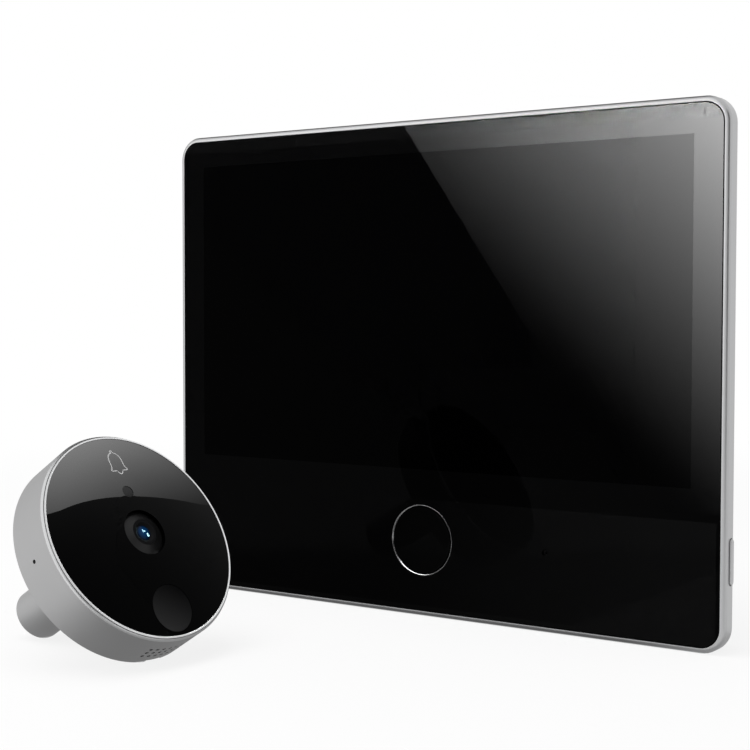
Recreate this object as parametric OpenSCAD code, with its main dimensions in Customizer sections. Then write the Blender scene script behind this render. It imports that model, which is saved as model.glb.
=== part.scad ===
// Peephole door camera set: an indoor monitor that stands on its flat bottom or hangs on a
// door bracket, and a round outdoor camera unit whose barrel goes through the door.
// Millimetres. +Z is up and the screen faces -Y. The origin is in the middle of the
// monitor's bottom face. The camera unit leans in front of the monitor, on its rear rim
// and the end of its barrel.

/* [Cover glass] */
// Width of the monitor's cover glass
glass_w = 169.4; // [166:0.2:190]
// Height of the monitor's cover glass
glass_h = 131; // [129:0.5:150]
// Thickness of the cover glass
glass_t = 1.1; // [0.8:0.1:1.4]
// Corner radius of the cover glass
glass_r = 5; // [4:0.2:9]
// Thickness of the bonding layer under either glass
adhesive_t = 0.2; // [0.1:0.05:0.4]

/* [Frame] */
// Width of the metal rim round the glass
rim_w = 1.5; // [1.2:0.1:3]
// Gap between the glass and the rim
glass_gap = 0.1; // [0.05:0.05:0.3]
// Depth of the frame's side wall
frame_d = 5.4; // [5.2:0.1:6]
// Rounding of the frame's front edge
front_edge_r = 1.3; // [0.4:0.1:1.3]
// Rounding of the frame's rear edge
rear_edge_r = 1.2; // [0.3:0.1:1.2]
// Width of the ledge that carries the glass
ledge_w = 3; // [2:0.2:3]
// Thickness of that ledge
ledge_t = 1.2; // [0.8:0.1:1.5]
// Overall depth of the monitor
monitor_d = 15; // [14.5:0.5:20]

/* [Display] */
// Glass at either side of the display panel
panel_side = 3.2; // [3.2:0.1:8]
// Glass above the display panel
panel_top = 3.5; // [3.2:0.1:6]
// Glass below the display panel
chin_h = 30.5; // [30:0.5:36]
// Thickness of the display panel
panel_t = 3; // [2:0.1:3.4]

/* [Keys] */
// Height of the home key above the bottom of the glass
home_y = 19.2; // [16:0.1:19.6]
// Outer radius of the ring round the home key
home_ring_r = 9.8; // [8:0.1:10]
// Width of that ring
home_ring_w = 0.8; // [0.5:0.1:1.5]
// Travel of the home key
home_travel = 0.4; // [0.2:0.05:0.6]
// Length of the side key
side_key_l = 11.2; // [8:0.2:13]
// Width of the side key
side_key_w = 1.9; // [1.4:0.1:2.1]
// How far the side key stands out of the wall
side_key_out = 0.45; // [0.2:0.05:1]
// Depth of the side key behind the glass's front
side_key_d = 3.2; // [3:0.1:3.4]
// Height of the side key above the bottom of the glass
side_key_y = 21; // [20:0.2:21.6]
// Travel of the side key
side_travel = 0.3; // [0.2:0.05:0.4]
// Gap round a key in its opening
key_gap = 0.2; // [0.15:0.05:0.3]
// Clearance between a key and what stops it
key_clear = 0.3; // [0.25:0.05:0.4]
// Distance of the microphone hole from the middle of the glass
mic_x = 37.5; // [25:0.5:60]
// Radius of a microphone hole
mic_hole_r = 0.5; // [0.3:0.05:0.8]

/* [Rear cover] */
// Wall of the rear cover
cover_wall = 1.8; // [1.4:0.1:2.2]
// Gap between the rear cover and the frame
cover_gap = 0.3; // [0.2:0.05:0.5]
// How far the cover's sides draw in towards the back
side_draft = 3; // [1:0.2:4]
// Width of the bevel along the cover's back edges
back_bevel = 2.5; // [1:0.1:3]
// Bevel at the back of the flat bottom
foot_bevel = 1.5; // [0.5:0.1:2]
// Radius of the columns that take the cover's screws
column_r = 3.2; // [2.8:0.1:3.6]

/* [Door bracket] */
// Width of the door bracket
bracket_w = 60; // [56:1:64]
// Height of the door bracket
bracket_h = 54; // [54:1:60]
// Thickness of the bracket's plate
bracket_t = 1.2; // [1:0.1:1.5]
// Depth of the pocket that the bracket lies in
pocket_d = 3.2; // [2.6:0.1:3.6]
// Gap round the bracket in its pocket
bracket_gap = 0.5; // [0.3:0.1:1]
// How far the monitor is lifted to come off the bracket
unhook_travel = 7; // [6:0.5:8]
// Width of a hook
hook_w = 8; // [6:0.5:10]
// Height of a hook's upright lip
hook_lip = 5; // [3:0.5:5]
// Radius of the bracket's cable hole
cable_hole_r = 8; // [6.5:0.5:9]
// Radius of the bracket's door screw holes
door_screw_r = 1.9; // [1.5:0.1:2.4]
// Distance of the door screw holes from the bracket's edges
door_screw_in = 5; // [4:0.5:7]

/* [Camera housing] */
// Radius of the round housing
housing_r = 27; // [26.6:0.1:32]
// Depth of the housing
housing_d = 12.75; // [12.4:0.05:16]
// Wall of the housing
housing_wall = 1.9; // [1.5:0.1:2]
// Bevel along the housing's front edge
front_bevel = 0.45; // [0.3:0.05:0.6]
// Bevel along the housing's rear edge
rear_bevel = 0.3; // [0.1:0.05:0.6]
// How far the housing's edge lies below the bright ring
rim_drop = 0.3; // [0.1:0.05:0.5]
// Width of the bright ring round the glass
bezel_w = 0.4; // [0.3:0.05:0.8]
// Width of the groove outside that ring
groove_w = 0.15; // [0.1:0.05:0.3]
// Radius of a hole in the speaker grille
grille_hole_r = 0.45; // [0.3:0.05:0.6]
// Spacing of the grille holes along the rim
grille_step = 1.9; // [1.6:0.1:2.4]
// Holes in one row of the grille
grille_count = 7; // [3:2:9]
// Rows of holes in the grille
grille_rows = 3; // [1:1:3]
// Width of the prising notch in the rear edge
notch_w = 5; // [3:0.5:7]
// Depth of the prising notch
notch_t = 0.6; // [0.3:0.1:1]

/* [Camera face] */
// Edge thickness of the domed glass
face_edge_t = 1.85; // [1.5:0.05:2.2]
// Rise of the dome at its middle
face_sag = 1.7; // [1:0.1:2.5]
// Radius of the lens opening
lens_open_r = 5.8; // [5:0.1:6.4]
// Drop of the cone round the lens, from the lens tube to its foot
hood_drop = 1.1; // [0.6:0.05:1.4]
// Radius of the lens barrel
lens_barrel_r = 3.3; // [2.8:0.1:3.8]
// Radius of the front lens
front_lens_r = 1.8; // [1.4:0.1:2.2]
// Glass between the motion sensor's window and the edge of the face
pir_gap = 0.9; // [0.7:0.1:1.4]
// Radius of the motion sensor's window
pir_r = 5.7; // [5:0.1:5.8]
// Depth of the sensors' windows below the glass round them
window_sunk = 0.1; // [0.05:0.05:0.3]
// Radius of the light sensor's window
light_r = 1.5; // [1:0.1:1.8]
// Radius of the bell key's touch pad
bell_pad_r = 4.4; // [3:0.1:5]
// Distance from the touch pad to the edge of the face
bell_gap = 2.9; // [2.4:0.1:3.4]
// Distance from the touch pad to the light sensor's window
bell_room = 1.8; // [0.6:0.1:3]

/* [Barrel] */
// Outer radius of the barrel
barrel_r = 6.5; // [6:0.1:7.5]
// Radius of the barrel's bore
barrel_bore_r = 5; // [4:0.1:5.4]
// Length of the barrel behind the housing
barrel_l = 32.9; // [25:0.5:60]
// Bevel at the barrel's free end
barrel_bevel = 0.4; // [0.2:0.1:0.8]
// Width of the door gasket
gasket_w = 6; // [3:0.5:9]
// Thickness of the door gasket
gasket_t = 1; // [0.8:0.1:1.4]
// How far the gasket stands out of the back plate
gasket_out = 0.4; // [0.2:0.1:0.6]

/* [Layout] */
// Sideways place of the camera unit's back, from the monitor's middle
unit_x = -38.6; // [-60:0.1:40]
// Distance of the camera unit's back in front of the glass
unit_y = 78.8; // [70:0.1:120]
// Turn of the camera unit about the vertical
unit_turn = -4.6; // [-30:0.1:30]

/* [Hidden] */
$fn = 96;

// Running room of a close seat, and how far a cut runs past the face that it opens
fit_gap = 0.05;
past = 1;

// Monitor outline
front_z = monitor_d / 2;
rim_wall = rim_w - glass_gap;
outer_w = glass_w + 2 * rim_w;
outer_h = glass_h + 2 * rim_w;
outer_r = glass_r + rim_w;
glass_mid = rim_w + glass_h / 2;
glass_top = rim_w + glass_h;
wall_inside = glass_w / 2 + glass_gap;
panel_w = glass_w - 2 * panel_side;
panel_h = glass_h - panel_top - chin_h;
panel_mid = rim_w + chin_h + panel_h / 2;
edge_land = 0.1;
ledge_corner_r = 0.5;
board_corner_r = 2;
front_round = min(front_edge_r, rim_wall - edge_land);
rear_round = min(rear_edge_r, rim_wall - edge_land);

// Depths behind the front of the glass
ledge_front = glass_t + adhesive_t;
ledge_back = ledge_front + ledge_t;
panel_back = glass_t + panel_t;
back_inside = monitor_d - cover_wall;

// Home key, from the glass backwards
home_mid = rim_w + home_y;
home_hole_r = home_ring_r + fit_gap;
home_cap_r = home_ring_r - home_ring_w - key_gap;
ring_flange_w = 1;
ring_flange_t = 0.5;
cap_flange_t = 0.7;
cap_flange_front = glass_t + ring_flange_t + key_clear;
cap_flange_back = cap_flange_front + cap_flange_t;
plunger_front = cap_flange_back + home_travel + key_clear;
plunger_t = 0.5;
plunger_r = 1.2;
home_switch_w = 5;
home_switch_t = 1.2;
key_board_front = plunger_front + plunger_t + home_switch_t;
key_board_t = 0.8;
key_board_back = key_board_front + key_board_t;
key_board_rise = 12.5;
key_board_gap = 0.5;
key_board_low = rim_w + key_board_rise;
key_board_high = rim_w + chin_h - key_board_gap;

// Side key, from the wall inwards
side_mid = rim_w + side_key_y;
side_flange = 0.6;
side_flange_t = 1;
side_flange_out = wall_inside - key_clear;
side_flange_in = side_flange_out - side_flange_t;
side_plunger_out = side_flange_in - side_travel - key_clear;
side_plunger_t = 0.4;
side_switch_out = side_plunger_out - side_plunger_t;
side_switch_t = 2.6;
side_switch_w = 6;
side_switch_half = 1.2;
notch_room = 1.5;
notch_half = side_key_l / 2 + side_flange + notch_room;

// Charging socket in the left side, on the back of the key board
socket_w = 9;
socket_h = 3.2;
socket_l = 7.4;
socket_shell = 0.35;
socket_mid = key_board_back + socket_h / 2;
socket_gap = 0.2;

// Rear cover
cover_half = glass_w / 2 + glass_gap - cover_gap;
cover_top = glass_top + glass_gap - cover_gap;
cover_r = glass_r + glass_gap - cover_gap;
draft_run = back_inside - back_bevel - frame_d;
socket_back = key_board_back + socket_h;
socket_wall = cover_half - cover_wall - side_draft * (socket_back - frame_d) / draft_run;
socket_mouth = socket_wall - socket_gap;
tab_l = 12;
tab_t = 1.5;
tab_in = 1.4;

// Screws of the rear cover
screw_r = 1;
screw_head_r = 1.9;
screw_head_t = 1.3;
screw_room = 0.2;
screw_bite = 2.5;
seat_floor = 2;
boss_r = 2.4;
boss_side = 8.7;
boss_rise = 7;
boss_x = glass_w / 2 - boss_side;
boss_y = rim_w + boss_rise;
gusset = 13;
head_seat = frame_d + seat_floor;

// Main board and what it carries
board_side = 26.5;
board_inset = 10.5;
board_gap = 0.8;
board_t = 1.2;
board_w = panel_w - 2 * board_side;
board_h = panel_h - 2 * board_inset;
board_front = panel_back + board_gap;
board_back = board_front + board_t;
board_mid = panel_mid;
post_r = 2.2;
post_side = 8;
post_rise = 6;
post_x = board_w / 2 - post_side;
post_y = board_h / 2 - post_rise;
key_post_side = 10;
key_post_x = board_w / 2 - key_post_side;
shield_w = 24;
shield_t = 1.6;
shield_rise = 3;
back_half = cover_half - cover_wall - side_draft - back_bevel;
battery_gap = 3.4;
battery_inset = 20.5;
battery_t = 4.6;
battery_w = back_half - bracket_w / 2 - bracket_gap - cover_wall - 2 * battery_gap;
battery_h = panel_h - 2 * battery_inset;
battery_x = battery_gap + battery_w / 2 - back_half;
speaker_r = 13;
speaker_t = 3;
magnet_r = 8.5;
magnet_t = 1.6;
speaker_gap = 8;
speaker_drop = 8;
speaker_x = back_half - speaker_gap - speaker_r;
speaker_y = board_mid - speaker_drop;
slot_l = 16;
slot_w = 1.3;
slot_step = 3;
slot_count = 6;
cable_w = 14;
cable_h = 6;

// Door bracket in its pocket
floor_t = 1.6;
floor_back = monitor_d - pocket_d;
floor_front = floor_back - floor_t;
hook_t = bracket_t;
hook_clear = 0.4;
hook_side = 10;
hook_drop = 15;
hook_rise = 13;
hook_x = bracket_w / 2 - hook_side;
hook_rows = [bracket_h / 2 - hook_drop, hook_rise - bracket_h / 2];
lip_back = floor_front - hook_clear;
lip_front = lip_back - hook_t;
bracket_r = 4;
pocket_half = bracket_w / 2 + bracket_gap;
pocket_high = board_mid + bracket_h / 2 + bracket_gap;
pocket_low = board_mid - bracket_h / 2 - unhook_travel - bracket_gap;

// Camera unit, along its own axis from the housing's back to the glass
recess_land = 0.05;
recess_r = housing_r - front_bevel - recess_land;
bezel_out_r = recess_r - groove_w;
bezel_in_r = bezel_out_r - bezel_w;
face_r = bezel_in_r - fit_gap;
bore_r = housing_r - housing_wall;
seat_w = 1.9;
seat_t = 1.2;
seat_r = face_r - seat_w;
face_back = housing_d - face_edge_t;
seat_z = face_back - adhesive_t;
dome_r = (face_r * face_r + face_sag * face_sag) / (2 * face_sag);
plate_t = 2;
unit_board_t = 1;
unit_board_low = 5.2;
unit_board_top = unit_board_low + unit_board_t;
unit_boss_r = 2.3;
unit_boss_in = 1.9;
unit_boss_at = bore_r - unit_boss_in;
unit_boss_turns = [90, 210, 330];
unit_board_gap = 0.4;
unit_board_r = unit_boss_at - unit_boss_r - unit_board_gap;
unit_post_r = 1.8;
unit_post_in = 4.5;
unit_post_at = unit_board_r - unit_post_in;
unit_post_turns = [30, 150, 270];
unit_head_r = 1.9;
unit_head_t = 1.1;

// Lens stack
hood_r = lens_open_r - fit_gap;
hood_top = dome_z(lens_open_r) - fit_gap;
hood_flange = 0.8;
hood_flange_t = 0.8;
hood_low = face_back - hood_flange_t;
lens_front = hood_top;
holder_w = 11;
sensor_w = 5.4;
sensor_t = 0.8;
sensor_room = 1.6;
sensor_gap = 0.5;
lens_dish = 0.5;
lens_dish_w = 0.8;
lens_seat = 1.5;
lens_crown = 0.9;

// Motion sensor, light sensor and lamps
pir_open_r = pir_r + fit_gap;
pir_y = face_r - pir_gap - pir_r;
pir_edge = dome_z(pir_y + pir_open_r) - fit_gap;
pir_wall = 0.8;
pir_can_w = 5.2;
pir_can_t = 3;
bell_pad_t = 0.3;
bell_y = face_r - bell_gap - bell_pad_r;
light_y = bell_y - bell_pad_r - bell_room - light_r;
led_w = 2.8;
led_t = 1.8;
led_x = 11;
led_y = 4;

// Sound parts of the camera unit
sound_gap = 0.1;
unit_speaker_w = 11;
unit_speaker_t = 2.2;
unit_speaker_h = 6.4;
unit_speaker_out = sqrt(bore_r * bore_r - unit_speaker_w * unit_speaker_w / 4) - sound_gap;
grille_depth = 7;
grille_mid = housing_d - grille_depth;
unit_mic_r = 2;
unit_mic_t = 1.6;
unit_mic_out = sqrt(bore_r * bore_r - unit_mic_r * unit_mic_r) - sound_gap;
unit_mic_depth = 6.75;
unit_mic_z = housing_d - unit_mic_depth;

// Barrel and gasket
barrel_flange_r = 9.5;
barrel_flange_t = 0.8;
relief_d = 0.3;
relief_r = barrel_r - relief_d;
relief_l = 1;
relief_edge = 0.2;
gasket_gap = 1.8;
gasket_out_r = unit_boss_at - unit_head_r - gasket_gap;
gasket_in_r = gasket_out_r - gasket_w;

// The unit leans until its rear rim and its barrel's end both touch the floor
rest_r = sqrt(housing_r * housing_r - notch_w * notch_w / 4);
rest_run = barrel_l - barrel_bevel + rear_bevel;
lean = atan((rest_r - barrel_r) / rest_run);
unit_height = rest_r * cos(lean) - rear_bevel * sin(lean);

// Height of the domed glass at a distance from the unit's axis
function dome_z(from_axis) =
    housing_d + face_sag - dome_r + sqrt(dome_r * dome_r - from_axis * from_axis);

// Turns a piece drawn flat, with its front up, so that it stands and faces -Y
module upright() {
    rotate([90, 0, 0])
        children();
}

// Places a piece of the camera unit, drawn along +Z from the housing's back
module leaning() {
    translate([unit_x, -front_z - unit_y, unit_height])
        rotate([0, -lean, unit_turn])
            rotate([90, 0, 90])
                children();
}

// Extrudes a flat outline between two depths behind the front of the glass
module layer(from_d, to_d) {
    translate([0, 0, front_z - to_d])
        linear_extrude(to_d - from_d)
            children();
}

// Rectangle with round corners, centred
module round_rect(w, h, r) {
    square([w - 2 * r, h], center = true);
    square([w, h - 2 * r], center = true);
    for (sx = [-1, 1], sy = [-1, 1])
        translate([sx * (w / 2 - r), sy * (h / 2 - r)])
            circle(r);
}

// Slot with round ends, centred, long in x
module slot_shape(l, w) {
    square([l - w, w], center = true);
    for (s = [-1, 1])
        translate([s * (l - w) / 2, 0])
            circle(w / 2);
}

// What a rounded edge takes off an outer corner that points to +x and +y
module corner_waste(r) {
    translate([-r, -r])
        difference() {
            square(r + past);
            circle(r);
        }
}

// Sweeps a section round a rounded rectangle; section x is counted from the corner centre
module rim_sweep(w, h, r) {
    for (i = [0 : 3]) {
        run = i % 2 == 0 ? h - 2 * r : w - 2 * r;
        out = i % 2 == 0 ? w / 2 - r : h / 2 - r;
        rotate([0, 0, 90 * i])
            translate([out, run / 2, 0]) {
                rotate([90, 0, 0])
                    linear_extrude(run)
                        children();
                rotate_extrude(angle = 90)
                    children();
            }
    }
}

// Section of the frame's wall with its front and rear edges rounded
module rim_section() {
    difference() {
        translate([outer_r - rim_wall, front_z - frame_d])
            square([rim_wall, frame_d]);
        translate([outer_r, front_z])
            corner_waste(front_round);
        translate([outer_r, front_z - frame_d])
            mirror([0, 1])
                corner_waste(rear_round);
    }
}

// Outline that reaches the middle of the frame's wall, so that a ledge joins it
module wall_outline() {
    translate([0, glass_mid])
        round_rect(glass_w + rim_wall, glass_h + rim_wall, glass_r + rim_wall / 2);
}

// Outline of the opening inside the glass ledge
module ledge_opening() {
    translate([0, glass_mid])
        round_rect(glass_w - 2 * ledge_w, glass_h - 2 * ledge_w, ledge_corner_r);
}

// Pill with its length upright, pushed through the right wall between two x places
module side_pill(from_x, to_x, grow) {
    translate([from_x, side_mid, front_z - side_key_d])
        rotate([0, 90, 0])
            linear_extrude(to_x - from_x)
                rotate([0, 0, 90])
                    slot_shape(side_key_l + 2 * grow, side_key_w + 2 * grow);
}

// Metal frame with its glass ledge, screw bosses and side key slot
module front_frame() {
    color([0.72, 0.73, 0.74])
        upright()
            difference() {
                union() {
                    translate([0, glass_mid])
                        rim_sweep(outer_w, outer_h, outer_r)
                            rim_section();
                    layer(ledge_front, ledge_back)
                        difference() {
                            wall_outline();
                            ledge_opening();
                        }
                    layer(ledge_front, ledge_back)
                        intersection() {
                            wall_outline();
                            for (s = [-1, 1])
                                translate([s * (glass_w - gusset) / 2, rim_w + gusset / 2])
                                    square(gusset, center = true);
                        }
                    for (s = [-1, 1])
                        layer(ledge_front, frame_d)
                            translate([s * boss_x, boss_y])
                                circle(boss_r);
                }
                for (s = [-1, 1])
                    layer(frame_d - screw_bite, frame_d + past)
                        translate([s * boss_x, boss_y])
                            circle(screw_r + fit_gap);
                side_pill(wall_inside - rim_wall, outer_w / 2 + past, key_gap);
                translate([wall_inside - 2 * ledge_w, side_mid - notch_half, front_z - ledge_back - past])
                    cube([2 * ledge_w, 2 * notch_half, ledge_t + 2 * past]);
            }
}

// Glass pane with openings for the home ring and the microphone
module cover_glass() {
    color([0.03, 0.03, 0.035])
        upright()
            layer(0, glass_t)
                difference() {
                    translate([0, glass_mid])
                        round_rect(glass_w, glass_h, glass_r);
                    translate([0, home_mid])
                        circle(home_hole_r);
                    translate([mic_x, home_mid])
                        circle(mic_hole_r);
                }
}

// Bonding frame between the glass and its ledge
module glass_adhesive() {
    inset = 0.3;
    color([0.1, 0.1, 0.1])
        upright()
            layer(glass_t, ledge_front)
                difference() {
                    translate([0, glass_mid])
                        round_rect(glass_w - 2 * inset, glass_h - 2 * inset, glass_r - inset);
                    ledge_opening();
                }
}

// Screen module bonded to the back of the glass
module display_panel() {
    bezel = 2;
    step = 0.6;
    color([0.05, 0.05, 0.06])
        upright()
            translate([0, panel_mid]) {
                layer(glass_t, panel_back - step)
                    square([panel_w, panel_h], center = true);
                layer(panel_back - step, panel_back)
                    square([panel_w - 2 * bezel, panel_h - 2 * bezel], center = true);
            }
}

// Metal ring in the glass, with a flange glued to the back of the glass
module home_ring() {
    color([0.75, 0.76, 0.78])
        upright()
            translate([0, home_mid])
                difference() {
                    union() {
                        layer(0, glass_t)
                            circle(home_ring_r);
                        layer(glass_t, glass_t + ring_flange_t)
                            circle(home_ring_r + ring_flange_w);
                    }
                    layer(-past, glass_t + ring_flange_t + past)
                        circle(home_ring_r - home_ring_w);
                }
}

// Home key: a flat cap with a flange that keeps it behind the ring
module home_button() {
    color([0.02, 0.02, 0.025])
        upright()
            translate([0, home_mid]) {
                layer(0, cap_flange_front)
                    circle(home_cap_r);
                layer(cap_flange_front, cap_flange_back)
                    circle(home_ring_r - fit_gap);
            }
}

// Tact switch behind the home key
module home_switch() {
    color([0.25, 0.25, 0.27])
        upright()
            translate([0, home_mid]) {
                layer(plunger_front, plunger_front + plunger_t)
                    circle(plunger_r);
                layer(plunger_front + plunger_t, key_board_front)
                    square(home_switch_w, center = true);
            }
}

// Side key: a pill through the wall, with a flange inside
module side_button() {
    color([0.7, 0.71, 0.72])
        upright() {
            side_pill(side_flange_out, outer_w / 2 + side_key_out, 0);
            side_pill(side_flange_in, side_flange_out, side_flange);
        }
}

// Side-acting tact switch behind the side key
module side_switch() {
    top = side_key_d - side_switch_half;
    color([0.25, 0.25, 0.27])
        upright() {
            translate([side_switch_out - side_switch_t, side_mid - side_switch_w / 2, front_z - key_board_front])
                cube([side_switch_t, side_switch_w, key_board_front - top]);
            translate([side_switch_out, side_mid, front_z - side_key_d])
                rotate([0, 90, 0])
                    cylinder(h = side_plunger_t, r = side_switch_half / 2);
        }
}

// Narrow board along the bottom that carries the keys' switches
module key_board() {
    left = socket_mouth - 1;
    color([0.1, 0.3, 0.18])
        upright()
            layer(key_board_front, key_board_back)
                translate([-left, key_board_low])
                    square([left + side_switch_out, key_board_high - key_board_low]);
}

// Microphone in a rubber boot between the glass and the key board
module indoor_microphone() {
    boot_r = 2.2;
    port = 1.4;
    color([0.15, 0.15, 0.15])
        upright()
            translate([mic_x, home_mid])
                difference() {
                    layer(glass_t, key_board_front)
                        circle(boot_r);
                    layer(glass_t - past, glass_t + port)
                        circle(mic_hole_r);
                }
}

// Charging socket: a pressed shell with a tongue, open to the left
module charging_socket() {
    tongue_t = 0.7;
    back_wall = 1;
    color([0.6, 0.6, 0.62])
        upright()
            translate([-socket_mouth, side_mid, front_z - socket_mid])
                rotate([0, 90, 0])
                    rotate([0, 0, 90]) {
                        linear_extrude(socket_l)
                            difference() {
                                slot_shape(socket_w, socket_h);
                                slot_shape(socket_w - 2 * socket_shell, socket_h - 2 * socket_shell);
                            }
                        translate([0, 0, socket_l - back_wall])
                            linear_extrude(back_wall)
                                slot_shape(socket_w - socket_shell, socket_h - socket_shell);
                        translate([0, 0, back_wall])
                            linear_extrude(socket_l - back_wall)
                                square([socket_w - socket_h, tongue_t], center = true);
                    }
}

// Circuit board behind the screen
module main_board() {
    color([0.08, 0.28, 0.16])
        upright()
            layer(board_front, board_back)
                translate([0, board_mid])
                    round_rect(board_w, board_h, board_corner_r);
}

// Pressed can over the processor
module board_shield() {
    color([0.7, 0.7, 0.7])
        upright()
            layer(board_back, board_back + shield_t)
                translate([0, board_mid - board_h / 2 + shield_w / 2 + shield_rise])
                    round_rect(shield_w, shield_w, 1);
}

// Socket for the camera's ribbon cable, which reaches into the bracket pocket
module cable_socket() {
    reach = 0.8;
    mouth_w = 10;
    mouth_h = 2.2;
    mouth_d = 3;
    color([0.85, 0.83, 0.75])
        upright()
            translate([0, board_mid])
                difference() {
                    layer(board_back, floor_back + reach)
                        square([cable_w, cable_h], center = true);
                    layer(floor_back + reach - mouth_d, floor_back + reach + past)
                        square([mouth_w, mouth_h], center = true);
                }
}

// Flat battery pack glued inside the rear cover
module battery() {
    color([0.3, 0.32, 0.36])
        upright()
            layer(back_inside - battery_t, back_inside)
                translate([battery_x, board_mid])
                    round_rect(battery_w, battery_h, board_corner_r);
}

// Loudspeaker behind the rear slots
module indoor_speaker() {
    color([0.2, 0.2, 0.2])
        upright()
            translate([speaker_x, speaker_y]) {
                layer(back_inside - speaker_t, back_inside)
                    circle(speaker_r);
                layer(back_inside - speaker_t - magnet_t, back_inside - speaker_t)
                    circle(magnet_r);
            }
}

// Drafted body of the rear cover, with its walls moved inwards by an amount
module cover_body(inward, front_d) {
    seam = cover_half - inward;
    neck = seam - side_draft;
    back = neck - back_bevel;
    high = cover_top - inward;
    back_d = monitor_d - inward;
    reach = outer_w + outer_h;
    intersection() {
        translate([0, reach / 2, 0])
            rotate([90, 0, 0])
                linear_extrude(reach)
                    polygon([
                        [-seam, front_z - front_d], [seam, front_z - front_d],
                        [seam, front_z - frame_d], [neck, front_z - back_d + back_bevel],
                        [back, front_z - back_d], [-back, front_z - back_d],
                        [-neck, front_z - back_d + back_bevel], [-seam, front_z - frame_d]
                    ]);
        translate([-reach / 2, 0, 0])
            rotate([90, 0, 90])
                linear_extrude(reach)
                    polygon([
                        [inward, front_z - front_d], [inward, front_z - back_d + foot_bevel],
                        [inward + foot_bevel, front_z - back_d],
                        [high - side_draft - back_bevel, front_z - back_d],
                        [high - side_draft, front_z - back_d + back_bevel],
                        [high, front_z - frame_d], [high, front_z - front_d]
                    ]);
        layer(front_d, back_d)
            translate([0, (inward + high) / 2])
                round_rect(2 * seam, high - inward, max(cover_r - inward, 1));
    }
}

// Places of the posts behind the two boards
module post_places() {
    for (sx = [-1, 1], sy = [-1, 1])
        translate([sx * post_x, board_mid + sy * post_y])
            children();
}

// Places of the bracket's hooks, at the top face of each hook's arm
module hook_places() {
    for (sx = [-1, 1], row = hook_rows)
        translate([sx * hook_x, board_mid + row])
            children();
}

// Moulded rear shell with bracket pocket, hook slots, speaker slots and screw columns
module rear_cover() {
    color([0.16, 0.16, 0.17])
        upright()
            difference() {
                union() {
                    difference() {
                        cover_body(0, frame_d);
                        cover_body(cover_wall, frame_d - past);
                    }
                    intersection() {
                        cover_body(0, frame_d);
                        union() {
                            layer(floor_front, monitor_d)
                                translate([0, (pocket_low + pocket_high) / 2])
                                    square([2 * (pocket_half + cover_wall),
                                            pocket_high - pocket_low + 2 * cover_wall], center = true);
                            for (s = [-1, 1])
                                layer(frame_d, monitor_d)
                                    translate([s * boss_x, boss_y])
                                        circle(column_r);
                        }
                    }
                    layer(board_back, monitor_d - cover_wall / 2)
                        post_places()
                            circle(post_r);
                    layer(key_board_back, monitor_d - cover_wall / 2)
                        for (s = [-1, 1])
                            translate([s * key_post_x, (key_board_low + key_board_high) / 2])
                                circle(post_r);
                    intersection() {
                        cover_body(0, frame_d - tab_in);
                        layer(frame_d - tab_in, frame_d + cover_wall)
                            cover_tabs();
                    }
                }
                layer(floor_back, monitor_d + past)
                    translate([-pocket_half, pocket_low])
                        square([2 * pocket_half, pocket_high - pocket_low]);
                layer(floor_front - past, floor_back + past) {
                    hook_places()
                        translate([-hook_w / 2 - hook_clear, -hook_t - unhook_travel - hook_clear])
                            square([hook_w + 2 * hook_clear, hook_t + unhook_travel + 2 * hook_clear]);
                    translate([0, board_mid])
                        square([cable_w + 2 * hook_clear, cable_h + 2 * hook_clear], center = true);
                }
                layer(back_inside - past, monitor_d + past)
                    for (i = [0 : slot_count - 1])
                        translate([speaker_x, speaker_y + (i - (slot_count - 1) / 2) * slot_step])
                            slot_shape(slot_l, slot_w);
                for (s = [-1, 1])
                    translate([s * boss_x, boss_y]) {
                        layer(frame_d - past, monitor_d)
                            circle(screw_r + screw_room);
                        layer(head_seat, monitor_d + past)
                            circle(screw_head_r + screw_room);
                    }
                translate([-cover_half - past, side_mid, front_z - socket_mid])
                    rotate([0, 90, 0])
                        linear_extrude(cover_half + past - socket_mouth)
                            rotate([0, 0, 90])
                                slot_shape(socket_w + 2 * socket_gap, socket_h + 2 * socket_gap);
            }
}

// Locating tabs that reach into the frame along its top and upper sides
module cover_tabs() {
    span = outer_w / 4;
    for (s = [-1, 1]) {
        translate([s * span - tab_l / 2, cover_top - tab_t])
            square([tab_l, tab_t]);
        for (y = [board_mid - span / 2, board_mid + span / 2])
            translate([s * (cover_half - tab_t / 2), y])
                square([tab_t, tab_l], center = true);
    }
}

// The two screws of the rear cover
module cover_screws() {
    drive_r = 0.8;
    drive_d = 0.6;
    color([0.5, 0.5, 0.52])
        upright()
            for (s = [-1, 1])
                translate([s * boss_x, boss_y])
                    difference() {
                        union() {
                            layer(head_seat, head_seat + screw_head_t)
                                circle(screw_head_r);
                            layer(frame_d - screw_bite + screw_room, head_seat)
                                circle(screw_r);
                        }
                        layer(head_seat + screw_head_t - drive_d, head_seat + screw_head_t + past)
                            circle(drive_r, $fn = 6);
                    }
}

// Pressed plate with hooks, cable hole and door screw holes
module door_bracket() {
    color([0.55, 0.56, 0.58])
        upright()
            difference() {
                union() {
                    layer(monitor_d - bracket_t, monitor_d)
                        translate([0, board_mid])
                            round_rect(bracket_w, bracket_h, bracket_r);
                    hook_places() {
                        layer(lip_front, monitor_d - bracket_t / 2)
                            translate([-hook_w / 2, -hook_t])
                                square([hook_w, hook_t]);
                        layer(lip_front, lip_back)
                            translate([-hook_w / 2, -hook_t])
                                square([hook_w, hook_t + hook_lip]);
                    }
                }
                layer(monitor_d - bracket_t - past, monitor_d + past)
                    translate([0, board_mid]) {
                        circle(cable_hole_r);
                        for (sx = [-1, 1], sy = [-1, 1])
                            translate([sx * (bracket_w / 2 - door_screw_in), sy * (bracket_h / 2 - door_screw_in)])
                                circle(door_screw_r);
                    }
            }
}

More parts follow.
